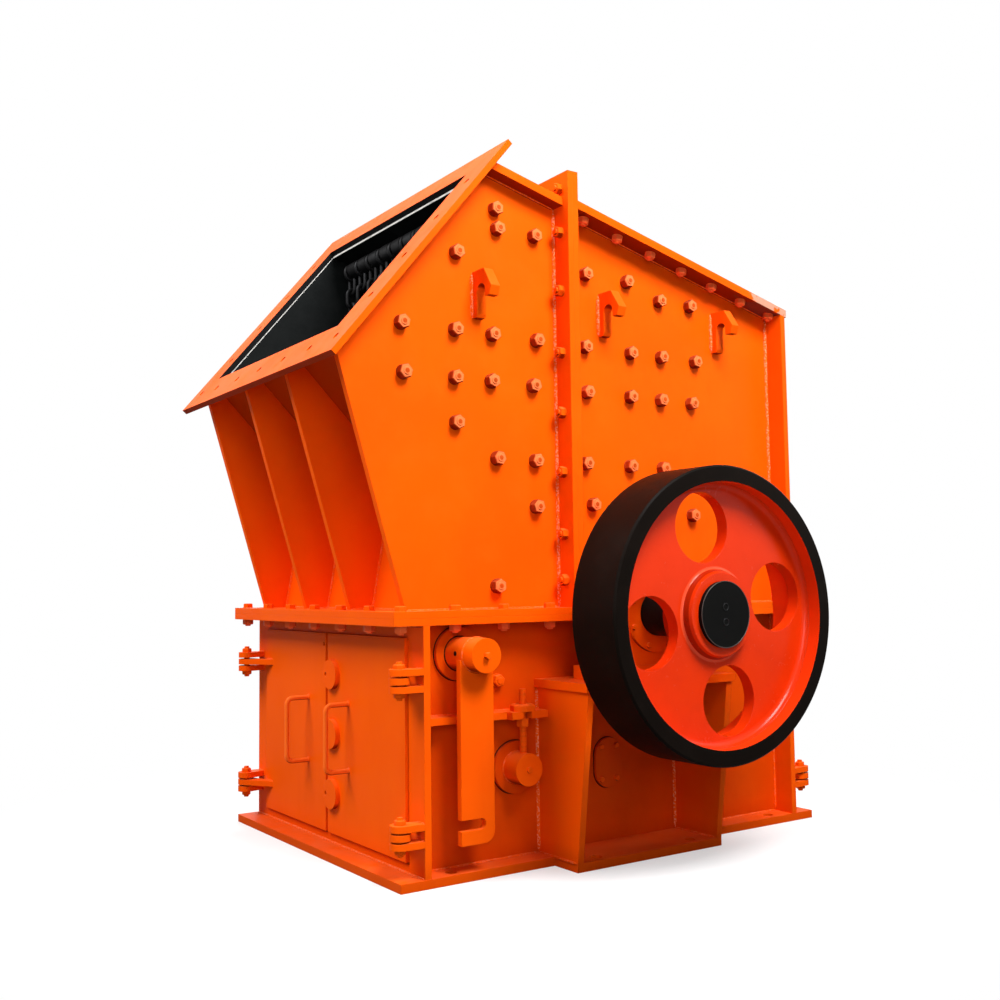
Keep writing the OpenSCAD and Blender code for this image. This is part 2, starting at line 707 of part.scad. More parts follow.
rotor_pitch = (2 * (inner - rotor_side) - rotor_t) / 4;
wheel_y = half + wheel_out;
hub_y = wheel_y - hub_set;
module rotor() color(STEEL) at() {
  rod_y(shaft_x, shaft_z, shaft_d / 2, -hub_y, hub_y);
  for (i = [-2:2]) translate([0, i * rotor_pitch, 0])
    rod_y(shaft_x, shaft_z, rotor_d / 2, -rotor_t / 2, rotor_t / 2);
}
hammer_r = rotor_d / 2 - hammer_in;
hammer_half = (rotor_pitch - rotor_t) / 2 - hammer_gap;
module hammer() {
  rod_y(hammer_r, 0, hammer_pin_d / 2, -(rotor_pitch - rotor_t) / 2, (rotor_pitch - rotor_t) / 2);
  rod_y(hammer_r, 0, hammer_h / 2, -hammer_half, hammer_half);
  plate_xz([[hammer_r, -hammer_h / 2], [swing_d / 2 - 2 * hammer_chamfer, -hammer_h / 2],
    [swing_d / 2 - hammer_chamfer, -hammer_h / 2 + hammer_chamfer],
    [swing_d / 2 - hammer_chamfer, hammer_h / 2 - hammer_chamfer],
    [swing_d / 2 - 2 * hammer_chamfer, hammer_h / 2], [hammer_r, hammer_h / 2]], -hammer_half, hammer_half);
}
module hammers() color(STEEL) at() translate([shaft_x, 0, shaft_z])
  for (a = [45:90:315], i = [-1.5:1.5]) rotate([0, a, 0]) translate([0, i * rotor_pitch, 0]) hammer();

rim_out = wheel_d / 2;
rim_in = rim_out - rim_t;
rim0 = wheel_y - rim_w;
web1 = wheel_y - web_in;
web0 = web1 - web_t;
hub_r = hub_d / 2;
hub0 = web0 - hub_back;
bore_r = shaft_d / 2 + hub_fit;
web_hole_r = (hub_r + rim_in) / 2;
web_hole_d = rim_in - hub_r - 2 * web_bridge;
module wheel_rim_near() color(BLACK) at() on_shaft() rotate_extrude($fn = 180) polygon([[rim_in, rim0],
  [rim_out - rim_chamfer, rim0], [rim_out, rim0 + rim_chamfer], [rim_out, wheel_y - rim_chamfer],
  [rim_out - rim_chamfer, wheel_y], [rim_in, wheel_y]]);
web_profile = concat(
  [[bore_r, hub0], [hub_r - hub_fillet, hub0], [hub_r, hub0 + hub_fillet]],
  arc([hub_r + hub_fillet, web0 - hub_fillet], hub_fillet, 180, 90),
  arc([rim_in - web_fillet, web0 - web_fillet], web_fillet, 90, 0),
  arc([rim_in - web_fillet, web1 + web_fillet], web_fillet, 0, -90),
  arc([hub_r + hub_fillet, web1 + hub_fillet], hub_fillet, 270, 180),
  [[hub_r - hub_fillet / 2, hub_y - hub_fillet], [hub_r - hub_fillet, hub_y], [bore_r, hub_y]]);
module web(turn) on_shaft() difference() {
  rotate_extrude($fn = 180) polygon(web_profile);
  for (a = [0:90:270]) rotate([0, 0, a + turn]) translate([web_hole_r, 0, web0 - cut])
    cylinder(h = web_t + 2 * cut, r = web_hole_d / 2);
}
module wheel_web_near() color(RED) at() web(web_turn);
module wheel_web_far() color(RED) at() far_side() web(-web_turn);
module shaft_cap() rod_y(shaft_x, shaft_z, cap_d / 2, -hub_y - cap_t, -hub_y);
module shaft_cap_near() color(BLACK) at() shaft_cap();
module shaft_cap_far() color(BLACK) at() far_side() shaft_cap();
groove_pitch = (rim_w - 2 * groove_land) / groove_n;
groove_y0 = rim0 + groove_land;
groove_pts = [for (i = [0:groove_n - 1], k = [0:3])
  [rim_out - (k % 3 == 0 ? 0 : groove_depth), groove_y0 + groove_pitch * (i + 0.1 + [0, 0.25, 0.55, 0.8][k])]];
module wheel_rim_far() color(BLACK) at() far_side() on_shaft() rotate_extrude($fn = 180)
  polygon(concat([[rim_in, rim0], [rim_out, rim0]], groove_pts, [[rim_out, wheel_y], [rim_in, wheel_y]]));

pin_x = end0 - hinge_x;
hinge_y = half - hinge_in;
hinge_lo = door_z0 + hinge_foot;
hinge_hi = door_z1 - hinge_head;
nose = pin_d / 2 + leaf_rim;
leaf_step = leaf_t + leaf_gap;
module hinge_leaf(z) {
  plate_xy([[pin_x, -hinge_y - nose], [end0, -half], [end0, -hinge_y + nose / 2], [pin_x, -hinge_y + nose]],
    z, z + leaf_t);
  rod_z(pin_x, -hinge_y, nose, z, z + leaf_t);
}
module hinge_fixed(z) {
  hinge_leaf(z);
  hinge_leaf(z + 2 * leaf_step);
  rod_z(pin_x, -hinge_y, pin_d / 2, z - pin_over, z + 2 * leaf_step + leaf_t + pin_over);
}
module hinges() for (z = [hinge_lo, hinge_hi]) hinge_fixed(z);
module front_hinges() color(ORANGE) at() both_sides() hinges();
module rear_hinges() color(ORANGE) at() rear_end() both_sides() hinges();

face_x = end0 - door_proud;
nose_k = nose * cos(45);
module door_arm(z) difference() {
  union() {
    plate_xy([[pin_x - nose_k, -hinge_y + nose_k], [pin_x + nose_k, -hinge_y - nose_k],
      [face_x, -door_edge], [face_x, -door_edge + arm_w]], z + leaf_step, z + leaf_step + leaf_t);
    rod_z(pin_x, -hinge_y, nose, z + leaf_step, z + leaf_step + leaf_t);
  }
  rod_z(pin_x, -hinge_y, pin_d / 2 + run_fit, z + leaf_t, z + 2 * leaf_step);
}
right_y = door_meet - door_split / 2;
left_y = door_meet + door_split / 2;
module door(inner_y) {
  box([face_x, -door_edge, door_z0], [face_x + door_t, inner_y, door_z1]);
  for (z = [hinge_lo, hinge_hi]) door_arm(z);
}
module door_right() color(ORANGE) at() door(right_y);
module door_left() color(ORANGE) at() difference() {
  far_side() door(-left_y);
  rod_x(left_y + sight_in, low_z - sight_drop, sight_d / 2, face_x - cut, face_x + door_t + cut);
}
module rear_doors() color(ORANGE) at() rear_end() {
  door(right_y);
  far_side() door(-left_y);
}
module disc(y, z) difference() {
  rod_x(y, z, disc_r, face_x - disc_t, face_x);
  rod_x(y + disc_hole_in, z, disc_hole_d / 2, face_x - disc_t - cut, face_x + cut);
}
module latch_discs() color(ORANGE) at()
  for (i = [-1:1]) disc(right_y - disc_in, door_mid + i * disc_step);

handle_r = handle_d / 2;
handle_y = handle_mid;
bar_x = face_x - handle_out + handle_r;
bar_h = handle_h / 2 - handle_r;
module elbow() rotate([90, 0, 0]) rotate([0, 0, 90])
  rotate_extrude(angle = 90) translate([handle_bend, 0]) circle(r = handle_r);
module half_handle() {
  rod_z(bar_x, -handle_y, handle_r, 0, bar_h - handle_bend);
  translate([bar_x + handle_bend, -handle_y, bar_h - handle_bend]) elbow();
  rod_x(-handle_y, bar_h, handle_r, bar_x + handle_bend, face_x);
}
module handle() translate([0, 0, door_mid]) { half_handle(); mirror([0, 0, 1]) half_handle(); }
module handle_right() color(ORANGE) at() handle();
module handle_left() color(ORANGE) at() far_side() handle();

lever_y = half + lever_gap;
lever_z = base_t + lever_foot;
lever0 = cross_x - lever_w / 2;
lever1 = cross_x + lever_w / 2;
slot_z = lever_z + slot_up;
module lever_part(x0, x1, z0, z1) box([x0, -lever_y - lever_t, z0], [x1, -lever_y, z1]);
module lever() difference() {
  union() {
    lever_part(lever0, lever1, lever_z + lever_corner, cross_z - lever_top);
    lever_part(lever0, lever1 - lever_corner, lever_z, lever_z + lever_corner);
    rod_y(lever1 - lever_corner, lever_z + lever_corner, lever_corner, -lever_y - lever_t, -lever_y);
  }
  box([lever0 - cut, -lever_y - lever_t - cut, slot_z - slot_w / 2],
    [cross_x + slot_in, -lever_y + cut, slot_z + slot_w / 2]);
  rod_y(cross_x + slot_in, slot_z, slot_w / 2, -lever_y - lever_t - cut, -lever_y + cut);
}
module cross_lever() color(ORANGE) at() {
  rod_y(cross_x, cross_z, cross_d / 2, -lever_y - lever_t - cross_over, lever_y + lever_t + cross_over);
  both_sides() lever();
}

module adjuster() {
  rod_y(adj_x, adj_z, adj_d / 2, -half - adj_over, -wall - collar_t);
  rod_z(adj_x, -wall - rod_out, rod_d / 2, adj_z, bracket_z + rod_up);
}
module adjuster_near() color(ORANGE) at() adjuster();
module adjuster_far() color(ORANGE) at() far_side() adjuster();
slot_half = rod_d / 2 + bracket_slot;
module bracket() difference() {
  union() {
    box([end0 + wall_t, -wall - bracket_w, bracket_z - bracket_t], [adj_x, -wall, bracket_z]);
    box([adj_x - bracket_head, -half, bracket_z - bracket_t],
      [adj_x + bracket_head + bracket_tail, -wall, bracket_z]);
  }
  box([adj_x - slot_half, -half - cut, bracket_z - bracket_t - cut],
    [adj_x + slot_half, -wall - rod_out + bracket_deep, bracket_z + cut]);
}
module bracket_near() color(ORANGE) at() bracket();
module bracket_far() color(ORANGE) at() far_side() bracket();

base_frame();
side_wall_near();
side_wall_far();
front_end_plate();
rear_end_plate();
lower_flange_front();
lower_flange_rear();
upper_flange_front();
upper_flange_rear();
pedestal_near();
pedestal_far();
bearing_near();
bearing_far();
upper_side_near();
upper_side_far();
rib_near();
rib_far();
front_wall();
chute_floor();
feed_flange();
front_roof();
split_flange_front();
split_flange_rear();
rear_side_near();
rear_side_far();
rear_roof();
rear_wall();
lifting_lugs_near();
lifting_lugs_far();
liner_near();
liner_far();
roof_liner();
chute_liner();
chain_curtain();
rotor();
hammers();
wheel_rim_near();
wheel_web_near();
shaft_cap_near();
wheel_rim_far();
wheel_web_far();
shaft_cap_far();
door_left();
door_right();
latch_discs();
handle_left();
handle_right();
front_hinges();
rear_doors();
rear_hinges();
cross_lever();
adjuster_near();
adjuster_far();
bracket_near();
bracket_far();
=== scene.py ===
"""Hammer crusher: painted housing, fasteners, weld seams, belt wheels and a plain studio.

Lengths are in metres. Places are written from the front edge of the base plate (x), the
middle plane of the machine (y) and the floor (z), and move to the frame of the solids.
"""

from __future__ import annotations

import json
import logging
import math
from dataclasses import dataclass, field
from enum import Enum
from typing import Any, Iterable, Sequence, Union

import bpy
from mathutils import Matrix, Vector

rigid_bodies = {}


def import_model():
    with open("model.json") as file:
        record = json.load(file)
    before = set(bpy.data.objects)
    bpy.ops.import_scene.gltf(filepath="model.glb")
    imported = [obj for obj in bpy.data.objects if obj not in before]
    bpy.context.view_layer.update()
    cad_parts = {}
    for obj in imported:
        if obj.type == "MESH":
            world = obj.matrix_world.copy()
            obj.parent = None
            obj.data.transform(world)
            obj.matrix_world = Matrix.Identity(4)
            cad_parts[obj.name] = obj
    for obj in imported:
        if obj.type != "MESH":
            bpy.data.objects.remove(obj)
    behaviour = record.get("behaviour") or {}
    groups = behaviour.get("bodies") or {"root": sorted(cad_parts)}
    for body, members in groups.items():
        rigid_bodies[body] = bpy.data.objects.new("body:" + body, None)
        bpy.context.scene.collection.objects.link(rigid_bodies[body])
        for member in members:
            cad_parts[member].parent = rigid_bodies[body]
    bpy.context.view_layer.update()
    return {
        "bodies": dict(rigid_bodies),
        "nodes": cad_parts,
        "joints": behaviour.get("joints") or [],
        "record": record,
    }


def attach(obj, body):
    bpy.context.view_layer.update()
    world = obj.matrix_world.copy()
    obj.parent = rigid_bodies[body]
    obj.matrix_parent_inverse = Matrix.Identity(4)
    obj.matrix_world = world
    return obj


LOG = logging.getLogger("crusher")

Number = Union[int, float]
Colour = tuple[float, float, float]
Path = list[Vector]

# Plates, flanges and shaft.
BASE_EDGE_TO_MIDDLE = 0.860
SHAFT_X = 0.953
SHAFT_Z = 0.872
WALL = 0.609
INNER_WALL = 0.584
FLANGE_HALF = 0.700
BASE_LENGTH = 1.950
BASE_TOP = 0.030
LOWER_FLANGE = 0.848
UPPER_FLANGE = 0.896
END_FRONT = 0.091
END_REAR = 1.859
PLATE = 0.025
SPLIT_FRONT = 0.722
SPLIT_REAR = 0.770
ROOF_AT_SPLIT = 2.412
ROOF_ANGLE = math.radians(13.66)
ROOF_SLOPE = math.tan(ROOF_ANGLE)
ROOF_THICK = 0.0309
FEED_ANGLE = math.radians(50.3)
FEED_X = -0.249
FEED_Z = 1.729
FEED_THICK = 0.022
# Side gear, blank cover and doors.
CROSS_X = 0.275
CROSS_Z = 0.747
ADJUSTER_X = 0.508
ADJUSTER_Z = 0.340
BRACKET_TOP = 0.540
BRACKET_LOW = 0.515
COLLAR_THICK = 0.016
COVER_X = 0.931
COVER_Z = 0.315
DOOR_FACE = 0.080
DOOR_EDGE = 0.592
HINGE_FEET = (0.131, 0.631)
HINGE_TALL = 0.078
LEAF = 0.022
# How far a mask reaches past the face that it ends on, and the steps that close a ring.
SKIN = 0.0006
RING_OVERLAP = 3
ACROSS = Vector((1.0, 0.0, 0.0))
UP = Vector((0.0, 0.0, 1.0))


def at(x: float, y: float, z: float) -> Vector:
    """Returns the frame point of a place given from the base plate's front edge."""
    return Vector((x - BASE_EDGE_TO_MIDDLE, y, z))


def roof_height(x: float) -> float:
    """Returns the height of the roof's upper face at a distance from the base edge."""
    return ROOF_AT_SPLIT - (x - (SPLIT_FRONT + SPLIT_REAR) / 2) * ROOF_SLOPE


def feed_back(up: float, out: float = 0.0) -> tuple[float, float]:
    """Returns x and z on the back of the feed flange.

    Args:
        up: Distance up the slope from the flange's lower edge.
        out: Distance in front of the flange's back face.

    Returns:
        The x and z of that point from the base edge and the floor.
    """
    deep = FEED_THICK - out
    x = FEED_X + up * math.cos(FEED_ANGLE) + deep * math.sin(FEED_ANGLE)
    z = FEED_Z + up * math.sin(FEED_ANGLE) - deep * math.cos(FEED_ANGLE)
    return x, z


def mirrored(paths: Iterable[Path]) -> list[Path]:
    """Returns the paths together with their mirror images across the middle plane."""
    near = [list(path) for path in paths]
    far = [[Vector((p.x, -p.y, p.z)) for p in path] for path in near]
    return near + far


class Wire:
    """A node socket whose operators add Math nodes to its graph."""

    def __init__(self, graph: "Graph", socket: bpy.types.NodeSocket) -> None:
        """Keeps the graph and the socket that the value comes from."""
        self.graph = graph
        self.socket = socket

    def math(self, operation: str, *others: Any) -> "Wire":
        """Adds a Math node.

        Args:
            operation: The Math node's operation.
            others: Further operands after this value.

        Returns:
            The result as a new wire.
        """
        operands = {index: value for index, value in enumerate((self, *others))}
        return self.graph.node("ShaderNodeMath", {"operation": operation}, operands)

    def flipped(self, operation: str, first: Number) -> "Wire":
        """Adds a Math node with a plain number as its first operand."""
        return self.graph.node("ShaderNodeMath", {"operation": operation}, {0: first, 1: self})

    def __add__(self, other: Any) -> "Wire":
        """Sum."""
        return self.math("ADD", other)

    __radd__ = __add__

    def __sub__(self, other: Any) -> "Wire":
        """Difference."""
        return self.math("SUBTRACT", other)

    def __rsub__(self, other: Number) -> "Wire":
        """Difference from a plain number."""
        return self.flipped("SUBTRACT", other)

    def __mul__(self, other: Any) -> "Wire":
        """Product."""
        return self.math("MULTIPLY", other)

    __rmul__ = __mul__

    def __truediv__(self, other: Any) -> "Wire":
        """Quotient."""
        return self.math("DIVIDE", other)

    def __rtruediv__(self, other: Number) -> "Wire":
        """Quotient of a plain number."""
        return self.flipped("DIVIDE", other)

    def __pow__(self, other: Any) -> "Wire":
        """Power."""
        return self.math("POWER", other)

    def __abs__(self) -> "Wire":
        """Magnitude."""
        return self.math("ABSOLUTE")

    def __lt__(self, other: Any) -> "Wire":
        """One where the value is below the other."""
        return self.math("LESS_THAN", other)

    def __gt__(self, other: Any) -> "Wire":
        """One where the value is above the other."""
        return self.math("GREATER_THAN", other)

    def ramp(self, low: Number, high: Number) -> "Wire":
        """Returns a smooth step that is 0 at low and 1 at high."""
        settings = {"interpolation_type": "SMOOTHSTEP"}
        return self.graph.node("ShaderNodeMapRange", settings, {0: self, 1: low, 2: high})


class Graph:
    """A node tree that is filled through one factory method."""

    def __init__(self, tree: bpy.types.NodeTree) -> None:
        """Keeps the tree that nodes are added to."""
        self.tree = tree

    def node(self, kind: str, settings: dict[str, Any] | None = None,
             sockets: dict[Any, Any] | None = None, out: Any = 0) -> Wire:
        """Adds one node.

        Args:
            kind: The node's type name.
            settings: Properties that are set before the sockets.
            sockets: Values or wires by socket name or index.
            out: Name or index of the output that is returned.

        Returns:
            The chosen output as a wire.
        """
        made = self.tree.nodes.new(kind)
        for name, value in (settings or {}).items():
            setattr(made, name, value)
        for key, value in (sockets or {}).items():
            target = made.inputs[key]
            if isinstance(value, Wire):
                self.tree.links.new(value.socket, target)
            elif isinstance(value, (list, tuple)) and value and isinstance(value[0], Wire):
                for one in reversed(value):
                    self.tree.links.new(one.socket, target)
            else:
                target.default_value = value
        return Wire(self, made.outputs[out]) if made.outputs else Wire(self, None)


class Shade(Graph):
    """A material's node tree with the patterns that the finishes share."""

    def __init__(self, name: str) -> None:
        """Makes a material with an empty node tree."""
        self.material = bpy.data.materials.new(name)
        self.material.use_nodes = True
        super().__init__(self.material.node_tree)
        self.tree.nodes.clear()
        self.place = self.node("ShaderNodeTexCoord", out="Object")
        self.x, self.y, self.z = self.split(self.place)

    def split(self, vector: Wire) -> tuple[Wire, Wire, Wire]:
        """Returns the three parts of a vector."""
        first = self.node("ShaderNodeSeparateXYZ", None, {0: vector})
        outputs = first.socket.node.outputs
        return first, Wire(self, outputs[1]), Wire(self, outputs[2])

    def noise(self, scale: float, detail: float = 3.0, rough: float = 0.5,
              stretch: tuple[float, float, float] | None = None) -> Wire:
        """Returns a noise value.

        Args:
            scale: Cells in a metre.
            detail: Octaves.
            rough: Share of the finer octaves.
            stretch: Factors on the three axes, for streaks.

        Returns:
            The noise value, about 0.5 on average.
        """
        vector = self.place
        if stretch:
            vector = self.node("ShaderNodeMapping", None, {"Vector": self.place, "Scale": stretch})
        return self.node("ShaderNodeTexNoise", None,
                         {"Vector": vector, "Scale": scale, "Detail": detail, "Roughness": rough})

    def mix(self, share: Any, first: Any, second: Any) -> Wire:
        """Returns a colour between two colours.

        Args:
            share: Share of the second colour.
            first: Colour at share 0.
            second: Colour at share 1.

        Returns:
            The mixed colour.
        """
        settings = {"data_type": "RGBA", "clamp_factor": True}
        sockets = {0: share, 6: rgba(first), 7: rgba(second)}
        return self.node("ShaderNodeMix", settings, sockets, out=2)

    def bump(self, height: Wire, strength: float, distance: float, base: Wire | None = None) -> Wire:
        """Returns a normal bent by a height.

        Args:
            height: The height value.
            strength: How strongly it bends the normal.
            distance: Height of one unit, in metres.
            base: A normal to bend further.

        Returns:
            The new normal.
        """
        sockets: dict[str, Any] = {"Height": height, "Strength": strength, "Distance": distance}
        if base:
            sockets["Normal"] = base
        return self.node("ShaderNodeBump", None, sockets)

    def rounded(self, radius: float) -> Wire:
        """Returns a normal that rounds sharp plate edges."""
        return self.node("ShaderNodeBevel", {"samples": 4}, {"Radius": radius})

    def surface(self, **sockets: Any) -> bpy.types.Material:
        """Ends the tree in a Principled shader.

        Args:
            sockets: Values by socket name, with underscores for spaces.

        Returns:
            The finished material.
        """
        named = {key.replace("_", " "): rgba(value) for key, value in sockets.items()}
        shader = self.node("ShaderNodeBsdfPrincipled", None, named)
        self.node("ShaderNodeOutputMaterial", None, {"Surface": shader})
        return self.material


def rgba(value: Any) -> Any:
    """Returns a colour with an alpha of 1, and any other value as it is."""
    if isinstance(value, tuple) and len(value) == 3:
        return (*value, 1.0)
    return value


class Inner(Enum):
    """Which faces of a plate lie inside the housing and are painted dark, as painted shade of the closed
    interior.
    """

    NONE = "none"
    BETWEEN_WALLS = "between_walls"
    UNDERSIDE = "underside"
    REARWARD = "rearward"
    FORWARD = "forward"
    MOUTH = "mouth"
    CHUTE = "chute"


@dataclass(frozen=True)
class Enamel:
    """Sprayed enamel on welded plate."""

    name: str
    colour: Colour = (0.93, 0.101, 0.0010)
    deep: Colour = (0.80, 0.060, 0.0006)
    faded_and_highlight: Colour = (0.97, 0.146, 0.0050)
    # Near-black painted shade for faces inside the housing, with a dust tint mottled over it.
    inside: Colour = (0.006, 0.006, 0.0065)
    inner: Inner = Inner.NONE
    gloss: float = 0.36
    edge: float = 0.003
    peeled: bool = False
    glint: float = 0.0
    dust: float = 0.12
    # Painted shade: the colour and share that darken faces pointing downwards.
    shadow: Colour = (0.16, 0.008, 0.0003)
    under: float = 0.85
    foot_tint: Colour = (0.40, 0.030, 0.0006)
    # Painted highlight: crown lightens the nuts' end faces in this band outside the wall.
    crown: bool = False
    face_highlight_band: tuple[float, float] = (0.027, 0.031)
    glint_tint: Colour = (0.98, 0.56, 0.38)
    dust_tint: Colour = (0.62, 0.28, 0.16)
    inside_dust: Colour = (0.016, 0.014, 0.013)
    primer: Colour = (0.50, 0.30, 0.21)
    flaked_at: tuple[float, float, float] = (1.83, -0.66, 2.15)
    broad_share: float = 0.30
    cloud_share: float = 0.16
    streak_share: float = 0.10
    low_streak_share: float = 0.14
    speck_share: float = 0.10
    foot_share: float = 0.38
    relief: float = 0.10
    relief_depth: float = 0.0016
    shine: float = 0.03
    mouth_half: float = 0.5606
    mouth_span: tuple[float, float] = (0.1554, 0.9604)

    def inner_mask(self, shade: Shade) -> Wire | None:
        """Returns 1 on the faces inside the housing."""
        level = abs(shade.y)
        if self.inner is Inner.BETWEEN_WALLS:
            return level < INNER_WALL + SKIN
        if self.inner is Inner.MOUTH:
            up = self.up_the_slope(shade)
            low, high = self.mouth_span
            return (level < self.mouth_half) * (up > low) * (up < high)
        if self.inner is Inner.CHUTE:
            return (level < INNER_WALL + SKIN) * self.behind_chute(shade)
        normal = shade.node("ShaderNodeNewGeometry", out="True Normal")
        nx, _, nz = shade.split(normal)
        between = level < INNER_WALL
        if self.inner is Inner.UNDERSIDE:
            return (nz < -0.4) * between
        if self.inner is Inner.REARWARD:
            return (nx > 0.5) * between
        if self.inner is Inner.FORWARD:
            return (nx < -0.5) * between
        return None

    def behind_chute(self, shade: Shade) -> Wire:
        """Returns 1 above the chute floor and behind the leaning front wall."""
        foot = at(0.190, 0.0, UPPER_FLANGE)
        lip = at(0.291, 0.0, 1.400)
        lean = 0.18
        fall = 1.027
        behind = (shade.x - foot.x - (shade.z - foot.z) * lean) > 0.0
        above = (shade.z - lip.z + (shade.x - lip.x) * fall) > 0.0
        low = shade.z < lip.z
        return low * behind + (1.0 - low) * above

    def up_the_slope(self, shade: Shade) -> Wire:
        """Returns the distance up the feed flange's slope."""
        start = at(FEED_X, 0.0, FEED_Z)
        along = (shade.x - start.x) * math.cos(FEED_ANGLE)
        return along + (shade.z - start.z) * math.sin(FEED_ANGLE)

    def build(self) -> bpy.types.Material:
        """Returns the paint as a material."""
        shade = Shade(self.name)
        broad = shade.noise(1.7, 3.0).ramp(0.34, 0.70)
        cloud = shade.noise(9.0, 4.0, 0.6).ramp(0.40, 0.78)
        speck = shade.noise(70.0, 3.0, 0.7).ramp(0.62, 0.80)
        streak = shade.noise(5.0, 3.0, 0.6, (3.2, 3.2, 0.28)).ramp(0.52, 0.82)
        low = 1.0 - shade.z.ramp(0.02, 0.55)
        foot = 1.0 - shade.z.ramp(0.010, 0.100)
        colour = shade.mix(broad * self.broad_share, self.colour, self.deep)
        colour = shade.mix(cloud * self.cloud_share, colour, self.faded_and_highlight)
        runs = streak * self.streak_share + low * streak * self.low_streak_share
        colour = shade.mix(runs, colour, self.deep)
        colour = shade.mix(speck * self.speck_share, colour, self.faded_and_highlight)
        colour = shade.mix(foot * self.foot_share, colour, self.foot_tint)
        rough = self.gloss + broad * 0.07 + cloud * 0.08 + speck * 0.10
        peel = shade.noise(240.0, 2.0)
        flow = shade.noise(26.0, 2.0)
        height = peel * 0.35 + flow
        if self.peeled:
            colour, rough = self.bare_corner(shade, colour, rough)
        # Painted highlight on the end faces of the nuts.
        if self.crown:
            start, end = self.face_highlight_band
            face = abs(shade.y).ramp(WALL + start, WALL + end)
            colour = shade.mix(face, colour, self.faded_and_highlight)
        # Painted highlight: pale glints speckled over the paint of the beads.
        if self.glint:
            spark = shade.noise(130.0, 2.0, 0.6).ramp(0.46, 0.62)
            colour = shade.mix(spark * self.glint, colour, self.glint_tint)
        facing = shade.split(shade.node("ShaderNodeNewGeometry", out="True Normal"))[2]
        # Painted shade: faces that point downwards are darkened towards the shadow colour.
        if self.under:
            colour = shade.mix((0.0 - facing).ramp(0.45, 0.85) * self.under, colour, self.shadow)
        settled = facing.ramp(0.30, 0.95) * shade.noise(14.0, 5.0, 0.65).ramp(0.22, 0.72)
        colour = shade.mix(settled * self.dust, colour, self.dust_tint)
        rough = rough + settled * 0.15
        # Painted shade: faces inside the housing are painted near black and mottled with dust.
        mask = self.inner_mask(shade)
        if mask:
            dust = shade.noise(30.0, 4.0, 0.7)
            dark = shade.mix(dust.ramp(0.45, 0.85) * 0.5, self.inside, self.inside_dust)
            colour = shade.mix(mask, colour, dark)
            rough = rough + mask * 0.18
        base = shade.rounded(self.edge) if self.edge else None
        normal = shade.bump(height, self.relief, self.relief_depth, base)
        return shade.surface(Base_Color=colour, Roughness=rough, Normal=normal,
                             Specular_IOR_Level=self.shine)

    def bare_corner(self, shade: Shade, colour: Wire, rough: Wire) -> tuple[Wire, Wire]:
        """Returns colour and roughness with flaked paint towards the rear roof corner."""
        corner = at(*self.flaked_at)
        reach = ((shade.x - corner.x) * 1.1) ** 2.0 + ((shade.y - corner.y) * 0.9) ** 2.0
        near = 1.0 - reach.ramp(0.0, 0.10)
        flake = (shade.noise(22.0, 5.0, 0.7) + near * 0.34).ramp(0.74, 0.77)
        colour = shade.mix(flake * 0.85, colour, self.primer)
        return colour, rough + flake * 0.22


@dataclass(frozen=True)
class RimEnamel:
    """Black rim with the web's red carried onto its inner face."""

    name: str = "wheel_rim_black"
    black: Colour = (0.0042, 0.0026, 0.0018)
    wear_and_highlight: Colour = (0.0090, 0.0056, 0.0040)
    red: Colour = (0.80, 0.040, 0.003)
    seam_radius: float = 0.4446
    shine: float = 0.03

    def build(self) -> bpy.types.Material:
        """Returns the rim's paint as a material."""
        shade = Shade(self.name)
        axle = at(SHAFT_X, 0.0, SHAFT_Z)
        radius = ((shade.x - axle.x) ** 2.0 + (shade.z - axle.z) ** 2.0) ** 0.5
        inside = radius < self.seam_radius
        turned = shade.noise(4.0, 4.0, 0.6, (1.0, 60.0, 1.0))
        blot = shade.noise(7.0, 4.0, 0.6).ramp(0.42, 0.80)
        scuff = shade.noise(34.0, 4.0, 0.7).ramp(0.60, 0.74)
        colour = shade.mix(blot * 0.5 + scuff * 0.35, self.black, self.wear_and_highlight)
        colour = shade.mix(inside, colour, self.red)
        rough = 0.40 + blot * 0.12 + scuff * 0.14 - inside * 0.10
        height = turned * 0.5 + shade.noise(180.0, 2.0) * 0.4
        normal = shade.bump(height, 0.10, 0.0014, shade.rounded(0.004))
        return shade.surface(Base_Color=colour, Roughness=rough, Normal=normal,
                             Specular_IOR_Level=self.shine)


